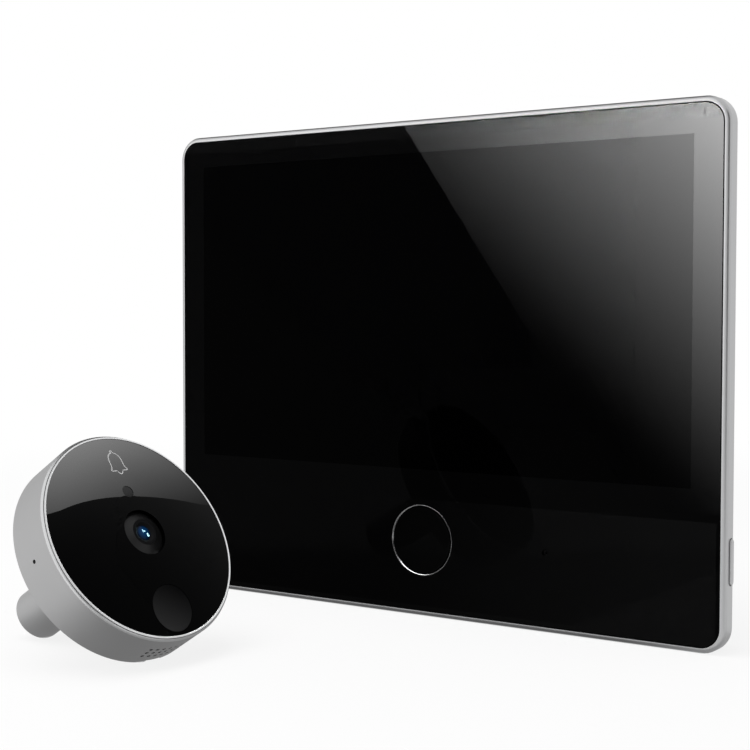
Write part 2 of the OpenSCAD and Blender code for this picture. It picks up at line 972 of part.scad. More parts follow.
// Turned section of the camera housing, radius against height above its back
module housing_section() {
    edge_z = housing_d - rim_drop;
    polygon([
        [bore_r, 0], [housing_r - rear_bevel, 0], [housing_r, rear_bevel],
        [housing_r, edge_z - front_bevel], [housing_r - front_bevel, edge_z], [recess_r, edge_z],
        [recess_r, seat_z], [seat_r, seat_z], [seat_r, seat_z - seat_t], [bore_r, seat_z - seat_t]
    ]);
}

// Places round the unit's axis at a distance from it
module round_places(turns, from_axis) {
    for (turn = turns)
        rotate([0, 0, turn])
            translate([from_axis, 0, 0])
                children();
}

// Round metal housing with screw bosses, speaker grille, microphone hole and prising notch
module camera_housing() {
    boss_depth = seat_z - seat_t;
    grille_turn = grille_step / housing_r * 180 / PI;
    row_step = grille_step * 0.95;
    color([0.68, 0.69, 0.7])
        leaning()
            difference() {
                union() {
                    rotate_extrude()
                        housing_section();
                    intersection() {
                        cylinder(h = housing_d, r = bore_r + housing_wall / 2);
                        round_places(unit_boss_turns, unit_boss_at)
                            translate([0, 0, plate_t])
                                cylinder(h = boss_depth - plate_t + seat_t / 2, r = unit_boss_r);
                    }
                }
                round_places(unit_boss_turns, unit_boss_at)
                    translate([0, 0, plate_t - past])
                        cylinder(h = past + 2 * screw_bite, r = screw_r + fit_gap);
                translate([0, 0, unit_mic_z])
                    rotate([0, -90, 0])
                        cylinder(h = housing_r + past, r = mic_hole_r);
                for (row = [0 : grille_rows - 1], i = [0 : grille_count - 1])
                    translate([0, 0, grille_mid + (row - (grille_rows - 1) / 2) * row_step])
                        rotate([0, 0, -90 + (i - (grille_count - 1) / 2) * grille_turn])
                            rotate([0, 90, 0])
                                cylinder(h = housing_r + past, r = grille_hole_r);
                translate([-notch_w / 2, -housing_r - past, -past])
                    cube([notch_w, past + notch_t, past + 2 * notch_t]);
            }
}

// Bright ring that frames the glass
module bezel_ring() {
    soft = 0.1;
    color([0.86, 0.87, 0.88])
        leaning()
            rotate_extrude()
                polygon([
                    [bezel_in_r, seat_z], [bezel_out_r, seat_z], [bezel_out_r, housing_d - soft],
                    [bezel_out_r - soft, housing_d], [bezel_in_r, housing_d]
                ]);
}

// Domed glass with openings for lens, motion sensor and light sensor
module face_glass() {
    color([0.02, 0.02, 0.025])
        leaning()
            difference() {
                rotate_extrude()
                    intersection() {
                        translate([0, face_back])
                            square([face_r, face_edge_t + face_sag + past]);
                        translate([0, housing_d + face_sag - dome_r])
                            circle(dome_r, $fn = 720);
                    }
                translate([0, 0, face_back - past]) {
                    cylinder(h = face_edge_t + face_sag + 2 * past, r = lens_open_r);
                    translate([0, -pir_y, 0])
                        cylinder(h = face_edge_t + face_sag + 2 * past, r = pir_open_r);
                    translate([0, light_y, 0])
                        cylinder(h = face_edge_t + face_sag + 2 * past, r = light_r + fit_gap);
                }
            }
}

// Bonding ring between the domed glass and its seat
module face_adhesive() {
    color([0.1, 0.1, 0.1])
        leaning()
            translate([0, 0, seat_z])
                difference() {
                    cylinder(h = adhesive_t, r = face_r - fit_gap);
                    translate([0, 0, -past])
                        cylinder(h = adhesive_t + 2 * past, r = seat_r);
                }
}

// Black cone round the lens tube, with a flange behind the glass
module lens_hood() {
    bore = lens_barrel_r + fit_gap;
    color([0.04, 0.04, 0.045])
        leaning()
            rotate_extrude()
                polygon([
                    [bore, hood_low], [hood_r + hood_flange, hood_low],
                    [hood_r + hood_flange, face_back], [hood_r, face_back],
                    [hood_r, hood_top - hood_drop], [bore, lens_front]
                ]);
}

// Lens tube with a dished mouth and a pocket for the front lens
module lens_barrel() {
    low = unit_board_top + sensor_room + sensor_gap;
    color([0.03, 0.03, 0.03])
        leaning()
            rotate_extrude()
                polygon([
                    [0, low], [lens_barrel_r, low], [lens_barrel_r, lens_front],
                    [front_lens_r + lens_dish_w, lens_front],
                    [front_lens_r + fit_gap, lens_front - lens_dish],
                    [front_lens_r + fit_gap, lens_front - lens_dish - lens_seat],
                    [0, lens_front - lens_dish - lens_seat]
                ]);
}

// Front lens element: a short cylinder with a domed front
module front_lens() {
    low = lens_front - lens_dish - lens_seat;
    top = lens_front - fit_gap;
    crown_r = (front_lens_r * front_lens_r + lens_crown * lens_crown) / (2 * lens_crown);
    color([0.1, 0.18, 0.4])
        leaning()
            intersection() {
                translate([0, 0, low])
                    cylinder(h = top - low, r = front_lens_r);
                translate([0, 0, top - crown_r])
                    sphere(crown_r);
            }
}

// Square holder between the board and the hood, bored for the lens tube
module lens_holder() {
    color([0.07, 0.07, 0.07])
        leaning()
            difference() {
                translate([-holder_w / 2, -holder_w / 2, unit_board_top])
                    cube([holder_w, holder_w, hood_low - unit_board_top]);
                translate([0, 0, unit_board_top - past])
                    cylinder(h = hood_low - unit_board_top + 2 * past, r = lens_barrel_r + fit_gap);
                translate([-sensor_w / 2 - sensor_gap, -sensor_w / 2 - sensor_gap, unit_board_top - past])
                    cube([sensor_w + 2 * sensor_gap, sensor_w + 2 * sensor_gap, sensor_room + past]);
            }
}

// Sensor chip on the board
module image_sensor() {
    color([0.2, 0.25, 0.3])
        leaning()
            translate([-sensor_w / 2, -sensor_w / 2, unit_board_top])
                cube([sensor_w, sensor_w, sensor_t]);
}

// Round slab whose top follows the domed glass, a little below it
module below_dome() {
    rotate_extrude()
        intersection() {
            square([face_r, housing_d + face_sag + past]);
            translate([0, housing_d + face_sag - dome_r])
                circle(dome_r - window_sunk, $fn = 720);
        }
}

// Window of the motion sensor, hollow behind, that follows the domed glass
module pir_lens() {
    color([0.09, 0.09, 0.095])
        leaning()
            difference() {
                intersection() {
                    translate([0, -pir_y, face_back])
                        cylinder(h = face_edge_t + face_sag, r = pir_r);
                    below_dome();
                }
                translate([0, -pir_y, face_back - past])
                    cylinder(h = pir_edge - pir_wall - face_back + past, r = pir_r - pir_wall);
            }
}

// Motion sensor element on the board, with its window
module pir_sensor() {
    window = 3.4;
    window_t = 0.3;
    color([0.6, 0.6, 0.58])
        leaning()
            translate([0, -pir_y, unit_board_top]) {
                translate([-pir_can_w / 2, -pir_can_w / 2, 0])
                    cube([pir_can_w, pir_can_w, pir_can_t]);
                translate([-window / 2, -window / 2, pir_can_t])
                    cube([window, window, window_t]);
            }
}

// Light pipe from the board to the small opening in the glass
module light_sensor() {
    color([0.05, 0.05, 0.06])
        leaning()
            intersection() {
                translate([0, light_y, unit_board_top])
                    cylinder(h = housing_d + face_sag - unit_board_top, r = light_r);
                below_dome();
            }
}

// Night lamps on the board
module ir_leds() {
    color([0.35, 0.3, 0.35])
        leaning()
            for (sx = [-1, 1], sy = [-1, 1])
                translate([sx * led_x - led_w / 2, sy * led_y - led_w / 2, unit_board_top])
                    cube([led_w, led_w, led_t]);
}

// Touch electrode on the back of the domed glass
module bell_touch_pad() {
    color([0.75, 0.6, 0.4])
        leaning()
            translate([0, bell_y, face_back - bell_pad_t])
                cylinder(h = bell_pad_t, r = bell_pad_r);
}

// Round circuit board of the camera unit
module camera_board() {
    color([0.08, 0.28, 0.16])
        leaning()
            translate([0, 0, unit_board_low])
                cylinder(h = unit_board_t, r = unit_board_r);
}

// Small speaker behind the grille in the lower wall
module outdoor_speaker() {
    color([0.2, 0.2, 0.2])
        leaning()
            translate([-unit_speaker_w / 2, -unit_speaker_out, grille_mid - unit_speaker_h / 2])
                cube([unit_speaker_w, unit_speaker_t, unit_speaker_h]);
}

// Microphone capsule behind the side hole
module outdoor_microphone() {
    color([0.5, 0.5, 0.5])
        leaning()
            translate([-unit_mic_out, 0, unit_mic_z])
                rotate([0, 90, 0])
                    cylinder(h = unit_mic_t, r = unit_mic_r);
}

// Back plate with board posts, barrel hole and gasket groove
module rear_plate() {
    gasket_sunk = gasket_t - gasket_out;
    color([0.15, 0.15, 0.16])
        leaning()
            difference() {
                union() {
                    cylinder(h = plate_t, r = bore_r - fit_gap);
                    round_places(unit_post_turns, unit_post_at)
                        cylinder(h = unit_board_low, r = unit_post_r);
                }
                translate([0, 0, -past])
                    cylinder(h = plate_t + 2 * past, r = barrel_r + fit_gap);
                translate([0, 0, -past])
                    difference() {
                        cylinder(h = past + gasket_sunk, r = gasket_out_r + fit_gap);
                        cylinder(h = past + gasket_sunk, r = gasket_in_r - fit_gap);
                    }
                round_places(unit_boss_turns, unit_boss_at) {
                    translate([0, 0, -past])
                        cylinder(h = plate_t + 2 * past, r = screw_r + fit_gap);
                    translate([0, 0, -past])
                        cylinder(h = past + unit_head_t, r = unit_head_r + fit_gap);
                }
            }
}

// The three screws of the back plate
module plate_screws() {
    drive_r = 0.8;
    drive_d = 0.6;
    color([0.5, 0.5, 0.52])
        leaning()
            round_places(unit_boss_turns, unit_boss_at)
                difference() {
                    union() {
                        cylinder(h = unit_head_t, r = unit_head_r);
                        cylinder(h = plate_t + screw_bite, r = screw_r);
                    }
                    translate([0, 0, -past])
                        cylinder(h = past + drive_d, r = drive_r, $fn = 6);
                }
}

// Flat rubber ring between the back plate and the door
module door_gasket() {
    color([0.07, 0.07, 0.07])
        leaning()
            translate([0, 0, -gasket_out])
                difference() {
                    cylinder(h = gasket_t, r = gasket_out_r);
                    translate([0, 0, -past])
                        cylinder(h = gasket_t + 2 * past, r = gasket_in_r);
                }
}

// Tube through the door, with a relief groove and a flange on the inside of the back plate
module barrel_tube() {
    color([0.74, 0.75, 0.76])
        leaning()
            rotate_extrude()
                polygon([
                    [barrel_bore_r, -barrel_l], [barrel_r - barrel_bevel, -barrel_l],
                    [barrel_r, -barrel_l + barrel_bevel], [barrel_r, -relief_l],
                    [relief_r, -relief_l], [relief_r, -relief_edge], [barrel_r, -relief_edge],
                    [barrel_r, plate_t], [barrel_flange_r, plate_t],
                    [barrel_flange_r, plate_t + barrel_flange_t],
                    [barrel_bore_r, plate_t + barrel_flange_t]
                ]);
}

front_frame();
cover_glass();
glass_adhesive();
display_panel();
home_ring();
home_button();
home_switch();
side_button();
side_switch();
key_board();
indoor_microphone();
charging_socket();
main_board();
board_shield();
cable_socket();
battery();
indoor_speaker();
rear_cover();
cover_screws();
door_bracket();
camera_housing();
bezel_ring();
face_glass();
face_adhesive();
lens_hood();
lens_barrel();
front_lens();
lens_holder();
image_sensor();
pir_lens();
pir_sensor();
light_sensor();
ir_leds();
bell_touch_pad();
camera_board();
outdoor_speaker();
outdoor_microphone();
rear_plate();
plate_screws();
door_gasket();
barrel_tube();
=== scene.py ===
"""Looks of a peephole door camera set: an indoor monitor and a round outdoor camera unit.

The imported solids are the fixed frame. Sizes in the classes are millimetres in that shared
frame: +Z is up, the screen faces -Y, and the origin is in the middle of the monitor's bottom.
Meshes are made in metres.
"""

import functools
import logging
import math
from collections.abc import Callable, Sequence
from dataclasses import dataclass, field
from enum import Enum

import bmesh
import bpy
from mathutils import Matrix, Vector


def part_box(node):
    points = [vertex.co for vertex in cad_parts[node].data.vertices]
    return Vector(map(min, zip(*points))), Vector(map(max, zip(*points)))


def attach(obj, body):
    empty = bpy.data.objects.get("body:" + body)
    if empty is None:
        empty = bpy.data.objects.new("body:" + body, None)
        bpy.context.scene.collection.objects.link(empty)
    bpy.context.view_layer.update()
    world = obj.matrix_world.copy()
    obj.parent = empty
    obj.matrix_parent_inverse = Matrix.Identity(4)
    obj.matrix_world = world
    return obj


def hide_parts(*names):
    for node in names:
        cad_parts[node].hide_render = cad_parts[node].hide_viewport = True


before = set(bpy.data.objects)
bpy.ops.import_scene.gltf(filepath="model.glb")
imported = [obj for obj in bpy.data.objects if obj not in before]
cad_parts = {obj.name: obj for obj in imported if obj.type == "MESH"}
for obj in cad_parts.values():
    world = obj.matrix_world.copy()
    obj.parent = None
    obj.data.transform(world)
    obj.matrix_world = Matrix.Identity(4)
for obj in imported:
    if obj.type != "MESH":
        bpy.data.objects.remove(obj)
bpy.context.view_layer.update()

MM = 0.001
CREASE = math.radians(40)
WELD = 1e-4
TO_METRES = Matrix.Scale(MM, 4)
TO_MM = Matrix.Scale(1 / MM, 4)
TO_FRONT = (math.pi / 2, 0, 0)
TO_BACK = (-math.pi / 2, 0, 0)
Point = tuple[float, float]
Colour = tuple[float, float, float]
log = logging.getLogger("door_camera")


class Body(str, Enum):
    """The moving bodies of the set."""

    MONITOR = "monitor"
    HOME = "home_key"
    SIDE = "side_key"
    BRACKET = "bracket"
    UNIT = "camera_unit"


class Grain(Enum):
    """The grains that a finish can have."""

    FINE = "fine grain"
    DRAWN = "drawn lines"
    TURNED = "turned lines"
    MOULDED = "moulded grain"
    WEAVE = "woven cloth"
    TRACKS = "board tracks"


def facing(x_axis: Sequence[float], y_axis: Sequence[float], origin: Sequence[float]) -> Matrix:
    """Makes the matrix of a working plane.

    Args:
        x_axis: World direction of the plane's x.
        y_axis: World direction of the plane's y.
        origin: World place of the plane's origin, in millimetres.

    Returns:
        The matrix from local millimetres to world metres; local z points out of the plane.
    """
    x = Vector(x_axis)
    y = Vector(y_axis)
    turn = Matrix((x, y, x.cross(y))).transposed().to_4x4()
    return Matrix.Translation(Vector(origin) * MM) @ turn @ TO_METRES


FRONT = facing((1, 0, 0), (0, 0, 1), (0, -7.5, 0))


@dataclass(frozen=True)
class UnitFrame:
    """The camera unit's own frame: it leans on its rear rim and the end of its barrel."""

    x: float = -38.6
    y: float = -86.3
    turn: float = -4.6
    housing_r: float = 27.0
    notch_w: float = 5.0
    barrel_r: float = 6.5
    barrel_l: float = 32.9
    barrel_bevel: float = 0.4
    rear_bevel: float = 0.3

    def matrix(self) -> Matrix:
        """Gives the matrix from the unit's local millimetres to world metres."""
        rest_r = math.sqrt(self.housing_r**2 - self.notch_w**2 / 4)
        run = self.barrel_l - self.barrel_bevel + self.rear_bevel
        lean = math.atan((rest_r - self.barrel_r) / run)
        height = rest_r * math.cos(lean) - self.rear_bevel * math.sin(lean)
        turn = Matrix.Rotation(math.radians(self.turn), 4, "Z") @ Matrix.Rotation(-lean, 4, "Y")
        axes = Matrix(((0, 0, 1, 0), (1, 0, 0, 0), (0, 1, 0, 0), (0, 0, 0, 1)))
        place = Matrix.Translation(Vector((self.x, self.y, height)) * MM)
        return place @ turn @ axes @ TO_METRES


UNIT = UnitFrame().matrix()


def clamped(value: float) -> float:
    """Keeps a value between nought and one."""
    return max(0.0, min(1.0, value))


# Outlines


def circle(r: float, x: float = 0, y: float = 0, steps: int = 96, hole: bool = False) -> list[Point]:
    """Gives a circle's points, counterclockwise, or clockwise for a hole."""
    way = -1 if hole else 1
    turns = [way * 2 * math.pi * i / steps for i in range(steps)]
    return [(x + r * math.cos(a), y + r * math.sin(a)) for a in turns]


def softened(corners: Sequence[tuple[float, float, float]], steps: int = 6) -> list[Point]:
    """Rounds the corners of a polygon.

    Args:
        corners: The polygon's corners as x, y and the radius of the rounding there.
        steps: Segments of each rounding.

    Returns:
        The points of the rounded polygon, in the same order.
    """
    points = []
    for i, (x, y, r) in enumerate(corners):
        here = Vector((x, y))
        if r <= 0:
            points.append((x, y))
            continue
        before = Vector(corners[i - 1][:2]) - here
        after = Vector(corners[(i + 1) % len(corners)][:2]) - here
        before.normalize()
        after.normalize()
        half = before.angle(after) / 2
        reach = r / math.tan(half)
        middle = here + (before + after).normalized() * (r / math.sin(half))
        start = here + before * reach - middle
        end = here + after * reach - middle
        sweep = start.angle_signed(end)
        for k in range(steps + 1):
            p = start.copy()
            p.rotate(Matrix.Rotation(-sweep * k / steps, 2))
            points.append(tuple(middle + p))
    return points


def round_rect(w: float, h: float, r: float, x: float = 0, y: float = 0, steps: int = 16) -> list[Point]:
    """Gives a rectangle with round corners, counterclockwise, round a middle point."""
    a = w / 2
    b = h / 2
    return softened([(x - a, y - b, r), (x + a, y - b, r), (x + a, y + b, r), (x - a, y + b, r)], steps)


def inset(points: Sequence[Point], by: float) -> list[Point]:
    """Moves an outline to its left side, which is where its material lies."""
    moved = []
    for i, p in enumerate(points):
        here = Vector(p)
        into = (here - Vector(points[i - 1])).normalized()
        out = (Vector(points[(i + 1) % len(points)]) - here).normalized()
        left = Vector((-into.y, into.x)) + Vector((-out.y, out.x))
        scale = 2 / max(left.length_squared, 0.5)
        moved.append(tuple(here + left * by * scale))
    return moved


def soft_edge(r: float, steps: int = 4) -> list[Point]:
    """Gives the inset and drop of each step of a rounded edge, from the face down."""
    turns = [math.pi / 2 * i / steps for i in range(steps + 1)]
    return [(r * (1 - math.sin(a)), r * (1 - math.cos(a))) for a in turns]


# Meshes


def ring_faces(bm: bmesh.types.BMesh, upper: list, lower: list) -> None:
    """Joins two closed rows of points with faces, either of which may be a single point."""
    count = max(len(upper), len(lower))
    for i in range(count):
        k = (i + 1) % count
        if len(upper) == 1 and len(lower) == 1:
            return
        if len(upper) == 1:
            bm.faces.new((upper[0], lower[i], lower[k]))
        elif len(lower) == 1:
            bm.faces.new((upper[i], lower[0], upper[k]))
        else:
            bm.faces.new((upper[i], lower[i], lower[k], upper[k]))


def turned(profile: Sequence[Point], steps: int = 128) -> bmesh.types.BMesh:
    """Turns a closed profile of radius and height about the z axis."""
    bm = bmesh.new()
    rows = []
    for r, z in profile:
        if r < 1e-6:
            rows.append([bm.verts.new((0, 0, z))])
        else:
            rows.append([bm.verts.new((x, y, z)) for x, y in circle(r, steps=steps)])
    for i, row in enumerate(rows):
        ring_faces(bm, row, rows[(i + 1) % len(rows)])
    return bm


def plate(loops: Sequence[Sequence[Point]], rings: Sequence[Point],
          hole_rings: Sequence[Point] | None = None) -> bmesh.types.BMesh:
    """Builds a plate from an outline and its holes.

    Args:
        loops: The outline, counterclockwise, then the holes, clockwise.
        rings: Inset and height of each row of points, from the front face to the back.
        hole_rings: The same for the holes, where they differ.

    Returns:
        The closed mesh, in local millimetres.
    """
    bm = bmesh.new()
    caps = ([], [])
    for i, loop in enumerate(loops):
        steps = hole_rings if i and hole_rings else rings
        rows = [[bm.verts.new((x, y, z)) for x, y in inset(loop, d)] for d, z in steps]
        for upper, lower in zip(rows, rows[1:]):
            ring_faces(bm, upper, lower)
        for cap, row in zip(caps, (rows[0], rows[-1])):
            for k, v in enumerate(row):
                w = row[(k + 1) % len(row)]
                cap.append(bm.edges.get((v, w)) or bm.edges.new((v, w)))
    for cap in caps:
        bmesh.ops.triangle_fill(bm, use_beauty=True, use_dissolve=False, edges=cap)
    return bm


def stroke(paths: Sequence[Sequence[Point]], width: float, z_of: Callable[[float, float], float],
           lift: float, closed: bool = False) -> bmesh.types.BMesh:
    """Draws thin raised lines on a curved face.

    Args:
        paths: The lines' points.
        width: Width of a line.
        z_of: Height of the face at a point.
        lift: Height of a line above the face; its foot lies as far below it.
        closed: Whether each line ends where it starts.

    Returns:
        The closed mesh of all the lines.
    """
    bm = bmesh.new()
    for path in paths:
        rows = []
        for i, (x, y) in enumerate(path):
            before = path[i - 1] if i or closed else path[i]
            after = path[(i + 1) % len(path)] if closed or i + 1 < len(path) else path[i]
            along = Vector((after[0] - before[0], after[1] - before[1])).normalized()
            side = Vector((-along.y, along.x)) * width / 2
            ends = [(x + side.x, y + side.y), (x - side.x, y - side.y)]
            row = [bm.verts.new((a, b, z_of(a, b) + s)) for s in (lift, -lift) for a, b in ends]
            rows.append([row[0], row[1], row[3], row[2]])
        last = len(rows) if closed else len(rows) - 1
        for i in range(last):
            ring_faces(bm, rows[i], rows[(i + 1) % len(rows)])
        if not closed:
            bm.faces.new(rows[0])
            bm.faces.new(reversed(rows[-1]))
    return bm


def joined(parts: Sequence[bmesh.types.BMesh]) -> bmesh.types.BMesh:
    """Puts several meshes into the first of them."""
    whole = parts[0]
    for part in parts[1:]:
        mesh = mesh_of("part", part)
        whole.from_mesh(mesh)
        bpy.data.meshes.remove(mesh)
    return whole


def mesh_of(name: str, bm: bmesh.types.BMesh) -> bpy.types.Mesh:
    """Turns a working mesh into a named one, and frees it."""
    mesh = bpy.data.meshes.new(name)
    bm.to_mesh(mesh)
    bm.free()
    return mesh


def placed(name: str, data: bpy.types.ID) -> bpy.types.Object:
    """Makes an object of a mesh, a lamp or a camera, and puts it into the scene."""
    obj = bpy.data.objects.new(name, data)
    bpy.context.scene.collection.objects.link(obj)
    return obj


def shaded(bm: bmesh.types.BMesh, crease: float) -> None:
    """Smooths a mesh's faces and keeps the edges that are sharper than the crease angle."""
    for face in bm.faces:
        face.smooth = True
    for edge in bm.edges:
        edge.smooth = len(edge.link_faces) == 2 and edge.calc_face_angle(0) < crease


def evened(obj: bpy.types.Object) -> bpy.types.Object:
    """Evens an object's shading by the size of its faces, and returns it."""
    even = obj.modifiers.new("even", "WEIGHTED_NORMAL")
    even.keep_sharp = True
    return settled(obj)


def settled(obj: bpy.types.Object) -> bpy.types.Object:
    """Turns an object with its modifiers into one with a plain mesh, and returns it."""
    bpy.context.view_layer.update()
    graph = bpy.context.evaluated_depsgraph_get()
    mesh = bpy.data.meshes.new_from_object(obj.evaluated_get(graph), depsgraph=graph)
    obj.modifiers.clear()
    obj.data = mesh
    return obj


def solid(name: str, bm: bmesh.types.BMesh, place: Matrix) -> bpy.types.Object:
    """Makes an object of a mesh, with outward faces and evened shading.

    Args:
        name: Name of the piece.
        bm: The mesh, in local millimetres; it is freed.
        place: Matrix to world metres.

    Returns:
        The object, at the origin, with its place in its mesh.
    """
    bmesh.ops.remove_doubles(bm, verts=bm.verts, dist=WELD)
    bmesh.ops.recalc_face_normals(bm, faces=bm.faces)
    shaded(bm, CREASE)
    bm.transform(place)
    return evened(placed(name, mesh_of(name, bm)))


# Finishes


class Tree:
    """A node tree with short calls to add and link nodes."""

    def __init__(self, tree: bpy.types.NodeTree) -> None:
        """Keeps the tree that is worked on."""
        self.tree = tree

    def add(self, kind: str, values: dict | None = None, **settings: object) -> bpy.types.Node:
        """Adds a node.

        Args:
            kind: The node's type.
            values: Its inputs by name or number: a value, or an output socket to link.
            settings: Its properties.

        Returns:
            The node.
        """
        node = self.tree.nodes.new(kind)
        for key, value in settings.items():
            setattr(node, key, value)
        for key, value in (values or {}).items():
            if isinstance(value, bpy.types.NodeSocket):
                self.tree.links.new(value, node.inputs[key])
            else:
                node.inputs[key].default_value = value
        return node

    def math(self, operation: str, *values: object) -> bpy.types.NodeSocket:
        """Adds a Math node on values or sockets, and gives its output."""
        maths = "ShaderNodeMath"
        return self.add(maths, dict(enumerate(values)), operation=operation).outputs[0]


class Grains:
    """The shader groups of the grains, each made once.

    Each takes Vector, Size in millimetres, Colour, Tone, Roughness and Span, and puts out
    Colour, Roughness and Height.
    """

    made: dict[Grain, bpy.types.NodeTree] = {}

    @classmethod
    def get(cls, grain: Grain) -> bpy.types.NodeTree:
        """Gives the group of a grain."""
        if grain not in cls.made:
            cls.made[grain] = cls.build(grain)
        return cls.made[grain]

    @classmethod
    def build(cls, grain: Grain) -> bpy.types.NodeTree:
        """Builds the group of a grain: its own pattern, and colour and gloss that wander."""
        group = bpy.data.node_groups.new(grain.value, "ShaderNodeTree")
        sides = {
            "INPUT": (("Vector", "Vector"), ("Size", "Float"), ("Colour", "Color"),
                      ("Tone", "Float"), ("Roughness", "Float"), ("Span", "Float")),
            "OUTPUT": (("Colour", "Color"), ("Roughness", "Float"), ("Height", "Float")),
        }
        for side, sockets in sides.items():
            for name, kind in sockets:
                group.interface.new_socket(name, in_out=side, socket_type="NodeSocket" + kind)
        t = Tree(group)
        inputs = t.add("NodeGroupInput").outputs
        scale = t.math("DIVIDE", 1 / MM, inputs["Size"])
        values = {0: inputs["Vector"], "Scale": scale}
        point = t.add("ShaderNodeVectorMath", values, operation="SCALE").outputs[0]
        pattern = {
            Grain.FINE: cls.fine, Grain.DRAWN: cls.drawn, Grain.TURNED: cls.lathe,
            Grain.MOULDED: cls.moulded, Grain.WEAVE: cls.weave, Grain.TRACKS: cls.tracks,
        }[grain]
        height, mask = pattern(t, point)
        wander = t.math("MULTIPLY_ADD", mask, 2.0, -1.0)
        shade = t.math("MULTIPLY_ADD", wander, inputs["Tone"], 1.0)
        tint = t.add("ShaderNodeVectorMath", {0: inputs["Colour"], "Scale": shade}, operation="SCALE")
        gloss = t.math("MULTIPLY_ADD", wander, inputs["Span"], inputs["Roughness"])
        t.add("NodeGroupOutput", {"Colour": tint.outputs[0], "Roughness": gloss, "Height": height})
        return group

    @staticmethod
    def noise(t: Tree, point: bpy.types.NodeSocket, scale: float, detail: float = 2) -> bpy.types.NodeSocket:
        """Adds a noise and gives its value."""
        values = {"Vector": point, "Scale": scale, "Detail": detail}
        return t.add("ShaderNodeTexNoise", values).outputs[0]

    @classmethod
    def fine(cls, t: Tree, point: bpy.types.NodeSocket) -> tuple:
        """Blasted metal or plain moulded plastic: fine even noise with broad clouds."""
        return cls.noise(t, point, 1.0), cls.noise(t, point, 0.03, 3)

    @classmethod
    def drawn(cls, t: Tree, point: bpy.types.NodeSocket) -> tuple:
        """Rolled sheet: noise stretched along x."""
        long = t.add("ShaderNodeMapping", {"Vector": point, "Scale": (0.02, 1.0, 1.0)}).outputs[0]
        return cls.noise(t, long, 1.0, 3), cls.noise(t, long, 0.35, 2)

    @classmethod
    def lathe(cls, t: Tree, point: bpy.types.NodeSocket) -> tuple:
        """Turned metal: fine rings about z."""
        flat = t.add("ShaderNodeVectorMath", {0: point, 1: (1.0, 1.0, 0.0)}, operation="MULTIPLY")
        away = t.add("ShaderNodeVectorMath", {0: flat.outputs[0]}, operation="LENGTH").outputs["Value"]
        height = t.add("ShaderNodeSeparateXYZ", {0: point}).outputs[2]
        along = t.math("ADD", away, height)
        lines = t.add("ShaderNodeTexNoise", {"W": along, "Scale": 1.0, "Detail": 2.0}, noise_dimensions="1D")
        return lines.outputs[0], cls.noise(t, point, 0.02, 2)

    @classmethod
    def moulded(cls, t: Tree, point: bpy.types.NodeSocket) -> tuple:
        """Eroded mould texture: small rounded cells."""
        values = {"Vector": point, "Scale": 1.0, "Smoothness": 0.6}
        cells = t.add("ShaderNodeTexVoronoi", values, feature="SMOOTH_F1").outputs["Distance"]
        rough = cls.noise(t, point, 2.5)
        return t.math("MULTIPLY_ADD", rough, 0.4, cells), cls.noise(t, point, 0.04, 3)

    @classmethod
    def weave(cls, t: Tree, point: bpy.types.NodeSocket) -> tuple:
        """Woven gauze: two crossing sets of threads."""
        parts = t.add("ShaderNodeSeparateXYZ", {0: point}).outputs
        waves = [t.math("ABSOLUTE", t.math("SINE", t.math("MULTIPLY", p, math.pi))) for p in parts]
        height = t.math("MAXIMUM", t.math("MULTIPLY", waves[0], waves[1]), waves[2])
        return height, height

    @classmethod
    def tracks(cls, t: Tree, point: bpy.types.NodeSocket) -> tuple:
        """Circuit board: raised tracks under the lacquer."""
        values = {"Vector": point, "Scale": 1.0}
        cells = t.add("ShaderNodeTexVoronoi", values, distance="CHEBYCHEV").outputs["Distance"]
        lines = t.math("PINGPONG", cells, 0.12)
        mask = t.math("GREATER_THAN", lines, 0.06)
        return mask, t.math("MULTIPLY_ADD", mask, 0.6, 0.2)


MADE: dict[str, bpy.types.Material] = {}
MIX_FIRST = 6
MIX_SECOND = 7
MIX_COLOUR = 2


